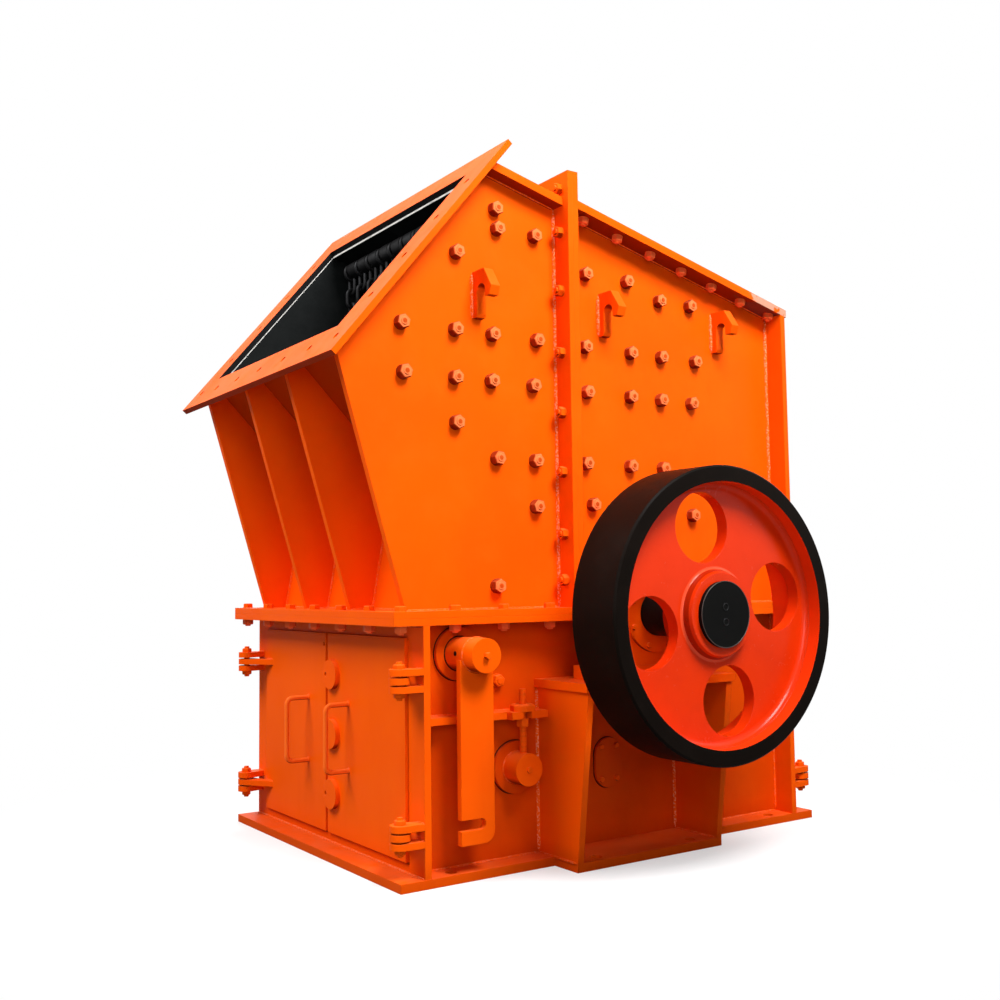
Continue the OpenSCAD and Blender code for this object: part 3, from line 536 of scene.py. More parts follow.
@dataclass(frozen=True)
class Castings:
    """Smooth enamel on turned castings."""

    name: str
    colour: Colour
    deep: Colour
    gloss: float = 0.30
    edge: float = 0.004
    shine: float = 0.04
    hub: float = 0.0
    # Painted shade on the hub's side and painted highlight on the fillet at its foot.
    hub_shade: Colour = (0.22, 0.009, 0.001)
    hub_highlight: Colour = (0.95, 0.200, 0.090)
    hub_side: tuple[float, float] = (0.006, 0.004)
    hub_lap: float = 0.002
    hub_fillet: tuple[float, float] = (0.010, 0.013)

    def build(self) -> bpy.types.Material:
        """Returns the casting's paint as a material."""
        shade = Shade(self.name)
        blot = shade.noise(5.0, 4.0, 0.6).ramp(0.38, 0.78)
        fine = shade.noise(60.0, 3.0, 0.6).ramp(0.55, 0.80)
        colour = shade.mix(blot * 0.45 + fine * 0.12, self.colour, self.deep)
        # Painted shade on the hub's side, painted highlight on the fillet band.
        if self.hub:
            axle = at(SHAFT_X, 0.0, SHAFT_Z)
            radius = ((shade.x - axle.x) ** 2.0 + (shade.z - axle.z) ** 2.0) ** 0.5
            rise, crest = self.hub_side
            foot, fade = self.hub_fillet
            edge = self.hub + self.hub_lap
            side = radius.ramp(self.hub - rise, self.hub - crest) * (radius < edge)
            fillet = (radius > edge) * (1.0 - radius.ramp(self.hub + foot, self.hub + fade))
            colour = shade.mix(side * 0.72, colour, self.hub_shade)
            colour = shade.mix(fillet * 0.22, colour, self.hub_highlight)
        rough = self.gloss + blot * 0.08 + fine * 0.10
        height = shade.noise(45.0, 3.0) + shade.noise(210.0, 2.0) * 0.4
        normal = shade.bump(height, 0.10, 0.0016, shade.rounded(self.edge))
        return shade.surface(Base_Color=colour, Roughness=rough, Normal=normal,
                             Specular_IOR_Level=self.shine)


@dataclass(frozen=True)
class BareSteel:
    """Uncoated steel with mill scale and handling marks."""

    name: str
    colour: Colour
    scale_tint: Colour
    gloss: float = 0.42
    metal: float = 0.75
    edge: float = 0.002
    bright_edge: bool = False
    shaded_ends: bool = False
    sawn: Colour = (0.55, 0.53, 0.50)
    sawn_deep: float = 0.0018
    end_shade: Colour = (0.009, 0.007, 0.006)
    shine: float = 0.05

    def build(self) -> bpy.types.Material:
        """Returns the steel as a material."""
        shade = Shade(self.name)
        blot = shade.noise(11.0, 5.0, 0.65).ramp(0.36, 0.72)
        grit = shade.noise(120.0, 3.0, 0.7).ramp(0.50, 0.80)
        colour = shade.mix(blot * 0.7 + grit * 0.2, self.colour, self.scale_tint)
        rough = self.gloss + blot * 0.16 + grit * 0.08
        if self.bright_edge:
            colour = shade.mix(self.sawn_edge(shade), colour, self.sawn)
        # Painted shade: the shaft is darkened outside the walls, where it sits behind the wheels.
        if self.shaded_ends:
            colour = shade.mix(abs(shade.y) > WALL, colour, self.end_shade)
        height = shade.noise(55.0, 4.0, 0.6) + grit * 0.5
        normal = shade.bump(height, 0.16, 0.0012, shade.rounded(self.edge) if self.edge else None)
        return shade.surface(Base_Color=colour, Roughness=rough, Metallic=self.metal, Normal=normal,
                             Specular_IOR_Level=self.shine)

    def sawn_edge(self, shade: Shade) -> Wire:
        """Returns 1 on the cut edge of a liner just behind the feed flange."""
        start = at(FEED_X, 0.0, FEED_Z)
        across = (shade.x - start.x) * math.sin(FEED_ANGLE)
        depth = across - (shade.z - start.z) * math.cos(FEED_ANGLE)
        patchy = shade.noise(40.0, 3.0).ramp(0.25, 0.5) * 0.5 + 0.5
        return (depth < FEED_THICK + self.sawn_deep) * patchy


@dataclass(frozen=True)
class FastenerSize:
    """Sizes of one kind of nut or bolt head."""

    across: float
    height: float
    washer: float = 0.0
    washer_thick: float = 0.0
    stud: float = 0.0
    stud_out: float = 0.0


class Fastener(Enum):
    """The fasteners on the machine."""

    FLANGE_NUT = FastenerSize(0.038, 0.020, 0.021, 0.003, 0.012, 0.006)
    FLANGE_HEAD = FastenerSize(0.036, 0.015, 0.021, 0.003)
    LINER_NUT = FastenerSize(0.046, 0.028, 0.0262, 0.004, 0.0150, 0.003)
    CAP_NUT = FastenerSize(0.050, 0.026, 0.034, 0.006, 0.016, 0.020)
    COVER_SCREW = FastenerSize(0.019, 0.008)
    HINGE_NUT = FastenerSize(0.034, 0.016, 0.0, 0.0, 0.011, 0.008)
    ROD_NUT = FastenerSize(0.078, 0.024)
    LOCK_NUT = FastenerSize(0.040, 0.030)
    CENTRE = FastenerSize(0.021, 0.017)
    BOSS_MARK = FastenerSize(0.021, 0.0055)
    STUD_END = FastenerSize(0.008, 0.0006, 0.0085, 0.0005)
    WALL_BOLT = FastenerSize(0.040, 0.018, 0.025, 0.003, 0.013, 0.003)


@dataclass
class Row:
    """Places and directions of one kind of fastener."""

    kind: Fastener
    places: list[Vector] = field(default_factory=list)
    axes: list[Vector] = field(default_factory=list)

    def add(self, place: Vector, axis: Sequence[float]) -> None:
        """Adds one fastener that stands along an axis."""
        self.places.append(place)
        self.axes.append(Vector(axis).normalized())

    def add_pair(self, place: Vector, axis: Sequence[float]) -> None:
        """Adds one fastener and its mirror image across the middle plane."""
        self.add(place, axis)
        self.add(Vector((place.x, -place.y, place.z)), (axis[0], -axis[1], axis[2]))


class NodeTool(Graph):
    """A Geometry Nodes tree with named inputs that ends in a plain mesh."""

    def __init__(self, name: str, inputs: dict[str, Any]) -> None:
        """Makes the tree.

        Args:
            name: The tree's name.
            inputs: Default value by input name; a material is given as None.
        """
        tree = bpy.data.node_groups.new(name, "GeometryNodeTree")
        super().__init__(tree)
        face = tree.interface
        face.new_socket("Geometry", in_out="OUTPUT", socket_type="NodeSocketGeometry")
        face.new_socket("Geometry", in_out="INPUT", socket_type="NodeSocketGeometry")
        self.identifiers: dict[str, str] = {}
        for label, value in inputs.items():
            kind = "NodeSocketMaterial" if value is None else "NodeSocketFloat"
            kind = "NodeSocketInt" if isinstance(value, int) else kind
            socket = face.new_socket(label, in_out="INPUT", socket_type=kind)
            if value is not None:
                socket.default_value = value
            self.identifiers[label] = socket.identifier
        self.entry = tree.nodes.new("NodeGroupInput")

    def given(self, label: str) -> Wire:
        """Returns a named input of the tree."""
        return Wire(self, self.entry.outputs[label])

    def close(self, geometry: Wire) -> None:
        """Ends the tree in realized geometry with its material."""
        real = self.node("GeometryNodeRealizeInstances", None, {0: geometry})
        dressed = self.node("GeometryNodeSetMaterial", None,
                            {"Geometry": real, "Material": self.given("Material")})
        end = self.tree.nodes.new("NodeGroupOutput")
        self.tree.links.new(dressed.socket, end.inputs[0])

    def run(self, name: str, mesh: bpy.types.Mesh, values: dict[str, Any]) -> bpy.types.Object:
        """Runs the tree on a mesh.

        Args:
            name: Name of the new piece.
            mesh: The points or paths that the tree reads.
            values: Input values by name.

        Returns:
            A new object at the origin with a plain mesh.
        """
        carrier = bpy.data.objects.new(name + "_paths", mesh)
        bpy.context.scene.collection.objects.link(carrier)
        modifier = carrier.modifiers.new(self.tree.name, "NODES")
        modifier.node_group = self.tree
        for label, value in values.items():
            modifier[self.identifiers[label]] = value
        depsgraph = bpy.context.evaluated_depsgraph_get()
        made = bpy.data.meshes.new_from_object(carrier.evaluated_get(depsgraph))
        carrier.modifiers.clear()
        bpy.data.objects.remove(carrier)
        piece = bpy.data.objects.new(name, made)
        bpy.context.scene.collection.objects.link(piece)
        return piece


class FastenerTool(NodeTool):
    """Sets a nut, washer and stud end on every point along its axis attribute."""

    HEX_SIDES = 6
    WASHER_SIDES = 20
    STUD_SIDES = 10
    SHOULDER = 0.80
    CHAMFER = 0.20
    TAPER = 0.86
    WASHER_TAPER = 0.97
    LEAST = 0.001

    def __init__(self) -> None:
        """Builds the tree."""
        super().__init__("fasteners", {
            "Across": 0.036, "Height": 0.019, "Washer": 0.022, "Washer Thick": 0.004,
            "Stud": 0.012, "Stud Out": 0.014, "Seed": 7, "Material": None})
        corner = self.given("Across") / math.sqrt(3.0)
        base = self.given("Washer Thick")
        shoulder = self.given("Height") * self.SHOULDER
        hexagon = self.barrel(self.HEX_SIDES, corner, corner, base, shoulder)
        bevel = self.given("Height") * self.CHAMFER
        crown = self.barrel(self.HEX_SIDES, corner, corner * self.TAPER, base + shoulder, bevel)
        rim = self.given("Washer")
        washer = self.barrel(self.WASHER_SIDES, rim, rim * self.WASHER_TAPER, 0.0, base)
        top = base + self.given("Height")
        thread = self.given("Stud")
        stud = self.barrel(self.STUD_SIDES, thread, thread * self.TAPER, top, self.given("Stud Out"))
        whole = self.node("GeometryNodeJoinGeometry", None, {0: [hexagon, crown, washer, stud]})
        axis = self.node("GeometryNodeInputNamedAttribute", {"data_type": "FLOAT_VECTOR"}, {0: "axis"})
        turn = self.node("FunctionNodeAlignRotationToVector", {"axis": "Z"}, {"Vector": axis})
        spread = self.node("GeometryNodeInstanceOnPoints", None,
                           {"Points": self.given("Geometry"), "Instance": whole, "Rotation": turn})
        spin = self.node("FunctionNodeRandomValue", {"data_type": "FLOAT"},
                         {"Seed": self.given("Seed"), 2: 0.0, 3: math.tau / self.HEX_SIDES}, out=1)
        turned = self.node("ShaderNodeCombineXYZ", None, {"Z": spin})
        spun = self.node("GeometryNodeRotateInstances", None, {"Instances": spread, "Rotation": turned})
        self.close(spun)

    def barrel(self, sides: int, bottom: Any, top: Any, start: Any, height: Any) -> Wire:
        """Returns a tapered barrel on the Z axis.

        Args:
            sides: Number of sides.
            bottom: Radius at the bottom.
            top: Radius at the top.
            start: Height of the bottom.
            height: Height of the barrel.

        Returns:
            The barrel's mesh.
        """
        shape = self.node("GeometryNodeMeshCone", {"fill_type": "NGON"},
                          {"Vertices": sides, "Radius Top": top, "Radius Bottom": bottom, "Depth": height})
        shift = self.node("ShaderNodeCombineXYZ", None, {"Z": start})
        return self.node("GeometryNodeTransform", None, {"Geometry": shape, "Translation": shift})

    def fix(self, name: str, row: Row, finish: bpy.types.Material) -> bpy.types.Object:
        """Makes all fasteners of one row.

        Args:
            name: Name of the piece.
            row: Kind, places and axes.
            finish: Material of the fasteners.

        Returns:
            One object that holds them all.
        """
        mesh = bpy.data.meshes.new(name + "_points")
        mesh.from_pydata([tuple(p) for p in row.places], [], [])
        axis = mesh.attributes.new("axis", "FLOAT_VECTOR", "POINT")
        for index, direction in enumerate(row.axes):
            axis.data[index].vector = direction
        size = row.kind.value
        return self.run(name, mesh, {
            "Across": size.across, "Height": size.height, "Washer": max(size.washer, self.LEAST),
            "Washer Thick": size.washer_thick, "Stud": max(size.stud, self.LEAST),
            "Stud Out": size.stud_out, "Seed": len(row.places), "Material": finish})


class WeldTool(NodeTool):
    """Lays a rippled, slightly uneven bead along paths."""

    GRAIN = 55.0
    WANDER = 7.0
    RIPPLE = 0.24
    END_SHARE = 0.1
    SIDES = 7
    STEP = 1.3

    def __init__(self) -> None:
        """Builds the tree."""
        super().__init__("weld_bead", {
            "Radius": 0.006, "Step": 0.008, "Uneven": 0.45, "Material": None})
        curve = self.node("GeometryNodeMeshToCurve", None, {0: self.given("Geometry")})
        step = self.node("GeometryNodeResampleCurve", {"mode": "LENGTH"},
                         {"Curve": curve, "Length": self.given("Step")})
        place = self.node("GeometryNodeInputPosition")
        grain = self.node("ShaderNodeTexNoise", None,
                          {"Vector": place, "Scale": self.GRAIN, "Detail": 2.0})
        wander = self.node("ShaderNodeTexNoise", None,
                           {"Vector": place, "Scale": self.WANDER, "Detail": 2.0})
        swell = 1.0 + (grain - 0.5) * self.given("Uneven") + (wander - 0.5) * self.given("Uneven")
        index = self.node("GeometryNodeInputIndex")
        ripple = 1.0 + (index * 0.5).math("FRACT") * self.RIPPLE - self.RIPPLE / 2
        run = self.node("GeometryNodeSplineParameter", out="Length")
        left = self.node("GeometryNodeSplineLength", out="Length") - run
        ends = (run.math("MINIMUM", left) / (self.given("Radius") * 2.0)).math("MINIMUM", 1.0)
        closing = ends * (1.0 - self.END_SHARE) + self.END_SHARE
        sized = self.node("GeometryNodeSetCurveRadius", None, {
            "Curve": step, "Radius": self.given("Radius") * swell * ripple * closing})
        ring = self.node("GeometryNodeCurvePrimitiveCircle", None,
                         {"Resolution": self.SIDES, "Radius": 1.0})
        bead = self.sweep(sized, ring)
        smooth = self.node("GeometryNodeSetShadeSmooth", None, {"Geometry": bead})
        self.close(smooth)

    def sweep(self, curve: Wire, ring: Wire) -> Wire:
        """Returns the ring swept along the curve, sized by the curve's radius."""
        sockets: dict[str, Any] = {"Curve": curve, "Profile Curve": ring, "Fill Caps": True}
        bead = self.node("GeometryNodeCurveToMesh", None, sockets)
        made = bead.socket.node
        if "Scale" in made.inputs:
            radius = self.node("GeometryNodeInputRadius")
            self.tree.links.new(radius.socket, made.inputs["Scale"])
        return bead

    def lay(self, name: str, paths: list[Path], radius: float,
            finish: bpy.types.Material) -> bpy.types.Object:
        """Lays beads along paths.

        Args:
            name: Name of the piece.
            paths: Point lists, one for each bead.
            radius: Mean radius of the bead.
            finish: Material of the beads.

        Returns:
            One object that holds them all.
        """
        points: list[tuple[float, float, float]] = []
        edges: list[tuple[int, int]] = []
        for path in paths:
            first = len(points)
            points.extend(tuple(p) for p in path)
            edges.extend((i, i + 1) for i in range(first, len(points) - 1))
        mesh = bpy.data.meshes.new(name + "_lines")
        mesh.from_pydata(points, edges, [])
        return self.run(name, mesh, {"Radius": radius, "Step": radius * self.STEP, "Material": finish})


class ThreadTool(NodeTool):
    """Winds a screw thread round the Z axis."""

    CREST = 0.36
    STEPS = 20

    def __init__(self) -> None:
        """Builds the tree."""
        super().__init__("screw_thread", {
            "Radius": 0.012, "Turns": 40.0, "Length": 0.12, "Crest": 0.0016, "Material": None})
        spiral = self.node("GeometryNodeCurveSpiral", None, {
            "Resolution": self.STEPS, "Rotations": self.given("Turns"), "Start Radius": self.given("Radius"),
            "End Radius": self.given("Radius"), "Height": self.given("Length")})
        crest = self.node("GeometryNodeCurvePrimitiveCircle", None,
                          {"Resolution": 4, "Radius": self.given("Crest")})
        self.close(self.node("GeometryNodeCurveToMesh", None,
                             {"Curve": spiral, "Profile Curve": crest, "Fill Caps": True}))

    def wind(self, name: str, foot: Vector, length: float, radius: float, pitch: float,
             finish: bpy.types.Material) -> bpy.types.Object:
        """Makes one upright thread.

        Args:
            name: Name of the piece.
            foot: Lower end of the thread on its axis.
            length: Length of the thread.
            radius: Radius of the thread's crest line.
            pitch: Rise in one turn.
            finish: Material of the thread.

        Returns:
            The thread's object.
        """
        mesh = bpy.data.meshes.new(name + "_seed")
        piece = self.run(name, mesh, {"Radius": radius, "Turns": length / pitch, "Length": length,
                                      "Crest": pitch * self.CREST, "Material": finish})
        piece.data.transform(Matrix.Translation(foot))
        return piece


@dataclass
class Finishes:
    """All materials of the machine."""

    orange: bpy.types.Material = field(init=False)
    lined: bpy.types.Material = field(init=False)
    lower_wall_shade: bpy.types.Material = field(init=False)
    chute: bpy.types.Material = field(init=False)
    roof: bpy.types.Material = field(init=False)
    peeled_roof: bpy.types.Material = field(init=False)
    front: bpy.types.Material = field(init=False)
    back: bpy.types.Material = field(init=False)
    mouth: bpy.types.Material = field(init=False)
    bolts: bpy.types.Material = field(init=False)
    lit_handles: bpy.types.Material = field(init=False)
    nuts: bpy.types.Material = field(init=False)
    stud_end_shade: bpy.types.Material = field(init=False)
    lit_hanging_nuts: bpy.types.Material = field(init=False)
    weld: bpy.types.Material = field(init=False)
    plain_weld: bpy.types.Material = field(init=False)
    gap_shade: bpy.types.Material = field(init=False)
    rim: bpy.types.Material = field(init=False)
    red: bpy.types.Material = field(init=False)
    cap: bpy.types.Material = field(init=False)
    liner: bpy.types.Material = field(init=False)
    chain: bpy.types.Material = field(init=False)
    wear_and_highlight: bpy.types.Material = field(init=False)
    forged: bpy.types.Material = field(init=False)

    def __post_init__(self) -> None:
        """Builds every material once."""
        self.orange = Enamel("orange_enamel").build()
        self.lined = Enamel("orange_enamel_side_plate", inner=Inner.BETWEEN_WALLS).build()
        # Painted shade: a darker copy of the orange for the lower side walls.
        self.lower_wall_shade = Enamel("orange_enamel_lower_wall_painted_shade", colour=(0.72, 0.066, 0.0008),
                                deep=(0.56, 0.036, 0.0005), faded_and_highlight=(0.86, 0.105, 0.0030),
                                inner=Inner.BETWEEN_WALLS).build()
        self.chute = Enamel("orange_enamel_chute_side", inner=Inner.CHUTE).build()
        self.roof = Enamel("orange_enamel_roof", inner=Inner.UNDERSIDE).build()
        self.peeled_roof = Enamel("orange_enamel_flaked", inner=Inner.UNDERSIDE, peeled=True).build()
        self.front = Enamel("orange_enamel_front_plate", inner=Inner.REARWARD).build()
        self.back = Enamel("orange_enamel_rear_plate", inner=Inner.FORWARD).build()
        self.mouth = Enamel("orange_enamel_feed_flange", inner=Inner.MOUTH, dust=0.42).build()
        self.bolts = Enamel("orange_enamel_fasteners", colour=(0.88, 0.104, 0.002), gloss=0.34,
                            edge=0.0).build()
        # Painted light: a paler copy of the orange for the door handles.
        self.lit_handles = Enamel("orange_enamel_handles_painted_light", colour=(0.97, 0.150, 0.014), deep=(0.93, 0.112, 0.004),
                              faded_and_highlight=(0.98, 0.230, 0.060), gloss=0.28).build()
        # Painted shade on the wall nuts' sides and painted highlight on their end faces.
        self.nuts = Enamel("orange_enamel_wall_nuts_painted_shade", colour=(0.34, 0.034, 0.004), deep=(0.20, 0.016, 0.002),
                           faded_and_highlight=(0.92, 0.190, 0.055), gloss=0.34, edge=0.0, crown=True).build()
        # Painted shade: a dark orange for the recessed stud ends.
        self.stud_end_shade = Enamel("orange_enamel_stud_ends_painted_shade", colour=(0.46, 0.060, 0.008), edge=0.0).build()
        # Painted light: a paler orange for the nuts that hang under the flanges, without the painted shade on
        # undersides.
        self.lit_hanging_nuts = Enamel("orange_enamel_hanging_nuts_painted_light", colour=(0.92, 0.140, 0.034),
                                deep=(0.80, 0.090, 0.016), faded_and_highlight=(0.96, 0.230, 0.090), gloss=0.34,
                                edge=0.0, under=0.0).build()
        self.weld = Enamel("orange_enamel_weld", colour=(0.94, 0.128, 0.005), gloss=0.30,
                           edge=0.0, glint=0.40).build()
        self.plain_weld = Enamel("orange_enamel_plain_weld", gloss=0.30, edge=0.0, glint=0.12).build()
        # Painted shade: a near-black steel for thin rings in the gaps round collars and covers, and for oil
        # holes.
        self.gap_shade = BareSteel("painted_gap_shade", (0.012, 0.006, 0.004), (0.020, 0.010, 0.006),
                              0.60, 0.0, edge=0.0).build()
        self.rim = RimEnamel().build()
        self.red = Castings("wheel_web_red", (0.66, 0.030, 0.0016), (0.50, 0.018, 0.001), 0.20, 0.002,
                            shine=0.16, hub=0.150).build()
        self.cap = Castings("shaft_cap_black", (0.0030, 0.0030, 0.0028), (0.0065, 0.0060, 0.0055),
                            0.45).build()
        self.liner = BareSteel("liner_worn_black", (0.0045, 0.0055, 0.0055), (0.010, 0.011, 0.011),
                               0.55, 0.0, bright_edge=True).build()
        # Painted highlight: a grey ring along the black shaft caps' edges.
        self.wear_and_highlight = BareSteel("cap_edge_painted_highlight", (0.10, 0.085, 0.075), (0.05, 0.042, 0.038), 0.40,
                              edge=0.0).build()
        self.chain = BareSteel("chain_dark_steel", (0.020, 0.020, 0.021), (0.011, 0.010, 0.010), 0.44).build()
        self.forged = BareSteel("rotor_forged_steel", (0.10, 0.10, 0.105), (0.05, 0.045, 0.04), 0.45,
                                shaded_ends=True).build()

    def dress_solids(self, nodes: dict[str, bpy.types.Object]) -> None:
        """Gives each solid of the frame its finish."""
        special = {
            "upper_side_near": self.chute, "upper_side_far": self.chute, "rear_side_near": self.lined,
            "rear_side_far": self.lined, "side_wall_near": self.lower_wall_shade, "side_wall_far": self.lower_wall_shade,
            "split_flange_front": self.roof, "split_flange_rear": self.roof,
            "front_roof": self.roof, "rear_roof": self.peeled_roof, "feed_flange": self.mouth,
            "front_wall": self.front, "rear_wall": self.back, "front_end_plate": self.front,
            "rear_end_plate": self.back, "liner_near": self.liner, "liner_far": self.liner,
            "roof_liner": self.liner, "chute_liner": self.liner, "chain_curtain": self.chain,
            "rotor": self.forged, "hammers": self.forged, "wheel_rim_near": self.rim,
            "wheel_rim_far": self.rim, "wheel_web_near": self.red, "wheel_web_far": self.red,
            "shaft_cap_near": self.cap, "shaft_cap_far": self.cap,
            "handle_left": self.lit_handles, "handle_right": self.lit_handles}
        for name, solid in nodes.items():
            solid.data.materials.clear()
            solid.data.materials.append(special.get(name, self.orange))


class Slot(Enum):
    """Material slots of the record, for orange and black paint."""

    ORANGE = "orange_paint"
    BLACK = "black_paint"


class Body(Enum):
    """Moving bodies of the frame."""

    HOUSING = "housing"
    ROTOR = "rotor"
    DOOR_LEFT = "door_left"
    DOOR_RIGHT = "door_right"
    LEVER = "cross_lever"


def mount(piece: bpy.types.Object, body: Body) -> None:
    """Fixes a finished piece to its body."""
    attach(piece, body.value)
    LOG.info("%s on %s, %d faces", piece.name, body.value, len(piece.data.polygons))


def ring_path(centre: Vector, radius: float, across: Vector, up: Vector, count: int = 40) -> Path:
    """Returns a closed circle of points.

    Args:
        centre: Middle of the circle.
        radius: Its radius.
        across: First direction in the circle's plane.
        up: Second direction in the circle's plane.
        count: Number of steps.

    Returns:
        The points, with the first few repeated at the end.
    """
    turns = [math.tau * i / count for i in range(count + RING_OVERLAP)]
    return [centre + across * (radius * math.cos(t)) + up * (radius * math.sin(t)) for t in turns]


@dataclass
class HousingBolts:
    """Bolts along the mid flange, the split and the roof."""

    tool: FastenerTool
    finish: bpy.types.Material
    lit_and_shaded_nut_finish: bpy.types.Material
    row_y: float = 0.655
    row_pitch: float = 0.200
    row_start: float = 0.242
    row_count: int = 9
    shaft_clear: float = 0.125
    end_pitch: float = 0.2215
    end_count: int = 3
    end_x: float = 0.025
    split_y: float = 0.652
    split_heights: tuple[float, ...] = (0.995, 1.162, 1.390, 1.610, 1.833, 2.066, 2.288, 2.454)
    top_pitch: float = 0.2173
    top_count: int = 2
    roof_y: float = 0.655
    roof_start: float = 0.832
    roof_pitch: float = 0.1664
    roof_count: int = 7

    def flange_places(self) -> list[Vector]:
        """Returns the bolt places round the mid flange, at the parting plane."""
        spots: list[Vector] = []
        for k in range(self.row_count):
            x = self.row_start + k * self.row_pitch
            if abs(x - SHAFT_X) > self.shaft_clear:
                spots.append(at(x, -self.row_y, SHAFT_Z))
                spots.append(at(x, self.row_y, SHAFT_Z))
        for k in range(-self.end_count, self.end_count + 1):
            spots.append(at(self.end_x, k * self.end_pitch, SHAFT_Z))
            spots.append(at(BASE_LENGTH - self.end_x, k * self.end_pitch, SHAFT_Z))
        return spots

    def build(self) -> None:
        """Makes all fasteners of the housing plates."""
        heads = Row(Fastener.FLANGE_HEAD)
        nuts = Row(Fastener.FLANGE_NUT)
        hanging = Row(Fastener.FLANGE_NUT)
        for spot in self.flange_places():
            heads.add(Vector((spot.x, spot.y, UPPER_FLANGE)), (0, 0, 1))
            hanging.add(Vector((spot.x, spot.y, LOWER_FLANGE)), (0, 0, -1))
        for z in self.split_heights:
            heads.add_pair(at(SPLIT_REAR, -self.split_y, z), (1, 0, 0))
            nuts.add_pair(at(SPLIT_FRONT, -self.split_y, z), (-1, 0, 0))
        top = self.split_heights[-1]
        for k in range(-self.top_count, self.top_count + 1):
            heads.add(at(SPLIT_REAR, k * self.top_pitch, top), (1, 0, 0))
            nuts.add(at(SPLIT_FRONT, k * self.top_pitch, top), (-1, 0, 0))
        lean = (math.sin(ROOF_ANGLE), 0.0, math.cos(ROOF_ANGLE))
        for k in range(self.roof_count):
            x = self.roof_start + k * self.roof_pitch
            heads.add_pair(at(x, -self.roof_y, roof_height(x)), lean)
            hanging.add_pair(at(x, -self.roof_y, roof_height(x) - ROOF_THICK), (-lean[0], 0.0, -lean[2]))
        mount(self.tool.fix("housing_bolt_heads", heads, self.finish), Body.HOUSING)
        mount(self.tool.fix("housing_nuts", nuts, self.finish), Body.HOUSING)
        mount(self.tool.fix("housing_hanging_nuts", hanging, self.lit_and_shaded_nut_finish), Body.HOUSING)


@dataclass
class LinerBolts:
    """Nuts of the wear plates by height, the lower wall's bolt and the blank cover's screws."""

    tool: FastenerTool
    finish: bpy.types.Material
    lit_and_shaded_nut_finish: bpy.types.Material
    stud_finish: bpy.types.Material
    front_rows: dict[float, tuple[float, ...]] = field(default_factory=lambda: {
        2.339: (0.451,), 2.267: (0.459, 0.624), 2.154: (0.284,), 1.876: (0.061, 0.277, 0.434, 0.630),
        1.706: (0.069, 0.275, 0.428, 0.611), 1.547: (0.278,), 1.430: (0.449, 0.618), 1.262: (0.619,),
        0.976: (0.443,)})
    rear_rows: dict[float, tuple[float, ...]] = field(default_factory=lambda: {
        2.159: (0.864, 1.070), 2.104: (1.239, 1.405), 1.877: (0.857, 1.084, 1.244, 1.428),
        1.704: (0.863, 1.079, 1.238, 1.403), 1.432: (0.852, 1.072, 1.240), 1.277: (0.883,),
        1.249: (1.395,)})
    lower: tuple[float, float] = (0.440, 0.645)
    cover_side: float = 0.036
    cover_rise: float = 0.060
    cover_thick: float = 0.012

    def build(self) -> None:
        """Makes the wall fasteners on both sides."""
        nuts = Row(Fastener.LINER_NUT)
        ends = Row(Fastener.STUD_END)
        size = Fastener.LINER_NUT.value
        reach = size.washer_thick + size.height + size.stud_out
        for rows in (self.front_rows, self.rear_rows):
            for z, columns in rows.items():
                for x in columns:
                    nuts.add_pair(at(x, -WALL, z), (0, -1, 0))
                    ends.add_pair(at(x, -WALL - reach, z), (0, -1, 0))
        mount(self.tool.fix("liner_nuts", nuts, self.lit_and_shaded_nut_finish), Body.HOUSING)
        # Dark discs on the stud ends are painted shade of the recesses.
        mount(self.tool.fix("liner_stud_ends", ends, self.stud_finish), Body.HOUSING)
        single = Row(Fastener.WALL_BOLT)
        single.add_pair(at(self.lower[0], -WALL, self.lower[1]), (0, -1, 0))
        mount(self.tool.fix("lower_wall_bolts", single, self.finish), Body.HOUSING)
        cover = Row(Fastener.COVER_SCREW)
        for side in (-self.cover_side, self.cover_side):
            for rise in (-self.cover_rise, self.cover_rise):
                cover.add_pair(at(COVER_X + side, -WALL - self.cover_thick, COVER_Z + rise), (0, -1, 0))
        mount(self.tool.fix("cover_screws", cover, self.finish), Body.HOUSING)


@dataclass
class Bearings:
    """Screws and cap bolts of the shaft bearings."""

    tool: FastenerTool
    finish: bpy.types.Material
    inner_y: float = 0.710
    width: float = 0.166
    ear: float = 0.213
    foot: float = 0.222
    shelf: float = 0.642
    bolt_step: float = 0.036
    ear_up: float = 0.034
    foot_up: float = 0.048
    screw_circle: float = 0.122
    screw_count: int = 8
    cover_out: float = 0.008

    def build(self) -> None:
        """Makes the bearing fasteners on both sides."""
        caps = Row(Fastener.CAP_NUT)
        screws = Row(Fastener.COVER_SCREW)
        middle = self.inner_y + self.width / 2
        for side in (-1, 1):
            for step in (-self.bolt_step, self.bolt_step):
                ear = at(SHAFT_X + side * self.ear, -middle + step, SHAFT_Z + self.ear_up)
                caps.add_pair(ear, (0, 0, 1))
            caps.add_pair(at(SHAFT_X + side * self.foot, -middle, self.shelf + self.foot_up), (0, 0, 1))
        for k in range(self.screw_count):
            turn = math.tau * (k + 0.5) / self.screw_count
            x = SHAFT_X + self.screw_circle * math.cos(turn)
            z = SHAFT_Z + self.screw_circle * math.sin(turn)
            screws.add_pair(at(x, -self.inner_y - self.width - self.cover_out, z), (0, -1, 0))
            screws.add_pair(at(x, -self.inner_y + self.cover_out, z), (0, 1, 0))
        mount(self.tool.fix("bearing_nuts", caps, self.finish), Body.HOUSING)
        mount(self.tool.fix("bearing_cover_screws", screws, self.finish), Body.HOUSING)


